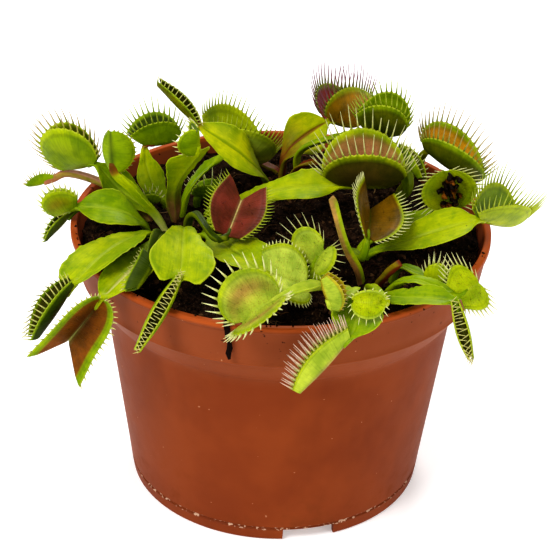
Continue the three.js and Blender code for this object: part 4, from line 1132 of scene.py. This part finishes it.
    bristle = tinted(look["teeth"])
    edgeAngle = opening(np.array([1.0]))[:, 0] - np.radians(trapShape["flange"]) * 0.6
    edgeAngle = np.maximum(edgeAngle, np.radians(4)) - np.radians(trapShape["cross"]) * trap.get("cross", 0)
    for sign, shift in shifts.items():
        for k in range(count):
            at = (k + shift) / count
            row = at * rows
            low = int(min(row, rows - 1))
            part = row - low
            base, under = (lobes[sign][low, column] * (1 - part) + lobes[sign][low + 1, column] * part
                           for column in (-1, -3))
            turn = np.interp(at, t, fan)
            tipAngle = np.interp(at, t, edgeAngle) + rng.uniform(-0.08, 0.08)
            size = depth * teeth * trapShape["toothGrow"] * (0.72 + 0.28 * math.sin(math.pi * at))
            size *= rng.uniform(0.86, 1.1)
            heading = mouth * math.cos(tipAngle) + flank * sign * math.sin(tipAngle)
            heading = unit(heading * math.cos(turn) + hinge * (math.sin(turn) + rng.uniform(-0.07, 0.07)))
            bend = unit(mouth * 0.9 - flank * sign * 0.5) * size * trapShape["toothBend"]
            root = base * 0.72 + under * 0.28
            s = np.array(trapShape["toothStops"])[:, None]
            spine = root + (base - root) * np.minimum(1, s / s[1]) + heading * size * s + bend * s ** 2
            thickness = trapShape["toothRadius"] * (0.75 + 0.25 * min(1.4, depth / 8)) * look["toothWide"]
            radii = thickness * np.array(trapShape["toothTaper"])
            places, bristleFaces = cone(spine, radii)
            blend = np.repeat(np.clip(1.15 - s[:, 0] * 3, 0, 1), 5)[:, None]
            mesh.add(places, bristleFaces, 2, tint=bristle + (rim - bristle) * blend * 0.8)
    for _ in range(look["scraps"]):              # what is left of a rotted lobe, crumpled along the hinge
        at, out = rng.uniform(0.05, 1.0), rng.uniform(-0.3, 0.3)
        spine = [start + hinge * (length * at) + mouth * (depth * 0.12) + flank * (depth * out)]
        while len(spine) < 5:
            stray = np.array([rng.uniform(-1, 1) for _ in range(3)])
            spine.append(spine[-1] + (mouth * 0.75 + stray * 0.7) * depth * 0.13)
        radii = [rng.uniform(0.35, 0.9) for _ in spine[:-1]] + [0.15]
        places, scrapFaces = cone(spine, radii, 5)
        mesh.add(places, scrapFaces, 0, tint=tinted(rng.choice(("black", "black", "brown", "rust"))))
    if gape > trapShape["hairFrom"]:
        for sign in (-1, 1):
            for at, out in ((0.3, 0.42), (0.5, 0.62), (0.7, 0.42)):
                i, j = int(at * rows), int(np.argmin(np.abs(w - out)))
                base, away = lobes[sign][i, j], normals[sign][i, j]
                spine = [base, base + away * 0.6, base + away * trapShape["hairLength"]]
                places, hairFaces = cone(spine, (0.11, 0.09, 0.03), 4)
                mesh.add(places, hairFaces, 2, tint=inner * 0.6)


def fullLook(look):
    shown = {**plainLook, **look}
    blade = shown["blade"]
    outer = shown.setdefault("outer", blade)
    shown.setdefault("stem", "leaf" if blade in ("lime", "yellow") else blade)
    shown.setdefault("neck", blade)
    shown.setdefault("inner", outer)
    shown.setdefault("rim", "leaf" if outer in ("deep", "green", "umber", "olive") else "lime")
    shown.setdefault("flush", shown["inner"])
    shown["edgeShare"] = 1.0 if "edge" in look else 0.35
    shown["ribShare"] = 0.85 if "midrib" in look else 0.35
    shown["flushShare"] = 0.9 if "flush" in look else 0.0
    shown["flushOuter"] = 0.6 if look.get("flush") in ("rust", "tan", "leaf") else 0.15
    return shown


def leafSkin():
    f = Finish("leafSkin")
    where = f.node("TexCoord")["Object"]
    uv = f.node("UVMap", {"uv_map": "leafUV"})
    tint = f.attribute("tint")["Color"]
    rib = f.attribute("ribTint")["Color"]
    margin = f.attribute("margin")["Fac"]
    patch = f.noise(where, 110, 3, 0.55)
    mottle = f.noise(where, 420, 4, 0.6)
    cells = f.noise(where, 2600, 2, 0.5)
    streaks = f.noise(f.node("Mapping", None, Vector=uv, Scale=(16, 1.6, 1)), 1.0, 3, 0.6, 0.6)
    skin = f.mix(f.smooth(patch, 0.3, 0.7), f.toned(tint, (0.62, 0.72, 0.5)),
                 f.toned(tint, (1.22, 1.14, 1.2)))
    skin = f.mix(f.smooth(mottle, 0.52, 0.68) * 0.5, skin, f.toned(tint, (0.55, 0.72, 0.4)))
    skin = f.mix(f.smooth(mottle, 0.46, 0.34) * 0.45, skin, f.toned(tint, (1.3, 1.2, 1.5)))
    skin = f.mix(f.smooth(streaks, 0.48, 0.66) * 0.38, skin, f.toned(skin, (0.58, 0.68, 0.5)))
    shade = f.smooth(margin, 0.74, 0.88) * f.smooth(margin, 0.97, 0.9)
    skin = f.mix(shade * 0.35, skin, f.toned(skin, (0.6, 0.7, 0.5)))
    skin = f.mix(f.smooth(margin, 0.93, 0.985) * 0.5, skin, linear("c4cf2c"))
    midLine = f.smooth(margin, 0.13, 0.03) * f.attribute("inner")["Fac"]
    skin = f.mix(midLine * 0.9, skin, rib)
    spot = f.smooth(f.noise(where, 1150, 1, 0.4), 0.79, 0.82)
    skin = f.mix(spot * 0.75, skin, linear("4a3413"))
    relief = mottle * 0.6 + streaks * 0.9 + cells * 0.22
    gloss = 0.34 + mottle * 0.14 + spot * 0.2
    return f.shade(Base_Color=skin, Roughness=gloss, Normal=f.bump(relief, 0.28, 0.0004),
                   IOR=1.18, Subsurface_Weight=0.12,
                   Subsurface_Scale=0.0012, Subsurface_Radius=(0.7, 1.0, 0.1))


def trapSkin():
    f = Finish("trapSkin")
    where = f.node("TexCoord")["Object"]
    uv = f.node("UVMap", {"uv_map": "leafUV"})
    tint = f.attribute("tint")["Color"]
    inner = f.attribute("inner")["Fac"]
    margin = f.attribute("margin")["Fac"]
    patch = f.noise(where, 160, 3, 0.55)
    mottle = f.noise(where, 700, 4, 0.6)
    cells = f.noise(where, 2800, 2, 0.5)
    ribs = f.node("Mapping", None, Vector=uv, Scale=(1.4, 20, 1))
    ribs = f.noise(ribs, 1.0, 2, 0.5, 0.3)
    skin = f.mix(f.smooth(patch, 0.3, 0.7), f.toned(tint, (0.6, 0.68, 0.5)),
                 f.toned(tint, (1.22, 1.16, 1.2)))
    skin = f.mix(f.smooth(mottle, 0.5, 0.66) * 0.3, skin, f.toned(skin, (0.6, 0.66, 0.45)))
    skin = f.mix(f.smooth(ribs, 0.48, 0.64) * 0.3, skin, f.toned(skin, (0.52, 0.6, 0.45)))
    # painted shade: a darker line along the crease inside the rim
    creaseShade = f.smooth(margin, 0.78, 0.84) * f.smooth(margin, 0.90, 0.86)
    skin = f.mix(creaseShade * 0.35, skin, f.toned(skin, (0.45, 0.45, 0.3)))
    skin = f.mix(f.smooth(margin, 0.95, 0.99) * 0.6, skin, linear("c2cc3a"))
    glands = f.node("TexVoronoi", None, Vector=where, Scale=1700.0)["Distance"]
    dots = f.smooth(glands, 0.34, 0.2) * inner * f.smooth(margin, 0.84, 0.74)
    skin = f.mix(dots * 0.4, skin, f.toned(skin, (0.72, 0.3, 0.25)))
    relief = mottle * 0.5 + ribs * 1.1 + cells * 0.2 - dots * 0.3
    return f.shade(Base_Color=skin, Roughness=0.36 + mottle * 0.16, Normal=f.bump(relief, 0.3, 0.0004),
                   IOR=1.18, Subsurface_Weight=0.12,
                   Subsurface_Scale=0.0012, Subsurface_Radius=(0.9, 0.9, 0.1))


def bristleSkin():
    f = Finish("toothBristle")
    tint = f.attribute("tint")["Color"]
    bands = f.noise(f.node("TexCoord")["Object"], 900, 2, 0.5)
    colour = f.mix(f.smooth(bands, 0.35, 0.7), f.toned(tint, (0.8, 0.76, 0.7)), tint)
    return f.shade(Base_Color=colour, Roughness=0.42, IOR=1.3, Subsurface_Weight=0.15,
                   Subsurface_Scale=0.0006, Subsurface_Radius=(1, 0.9, 0.6))


def makeLeaves():
    finishes = [leafSkin(), trapSkin(), bristleSkin()]
    total = 0
    for order, (name, leaf) in enumerate(leaves.items()):
        rng = random.Random(100 + order)
        mesh = Mesh()
        look = fullLook(leaf["look"])
        makePetiole(mesh, leaf, look, rng)
        if leaf.get("trap"):
            makeTrap(mesh, leaf, look, rng)
        stub = name == "flower_stub"
        obj = mesh.finish("flowerStub" if stub else name + "_leaf", finishes)
        put(obj, [name if stub else "leaf_" + name])
        total += len(obj.data.polygons)
    print("leaves:", len(leaves), "with", total, "faces")


makeLeaves()
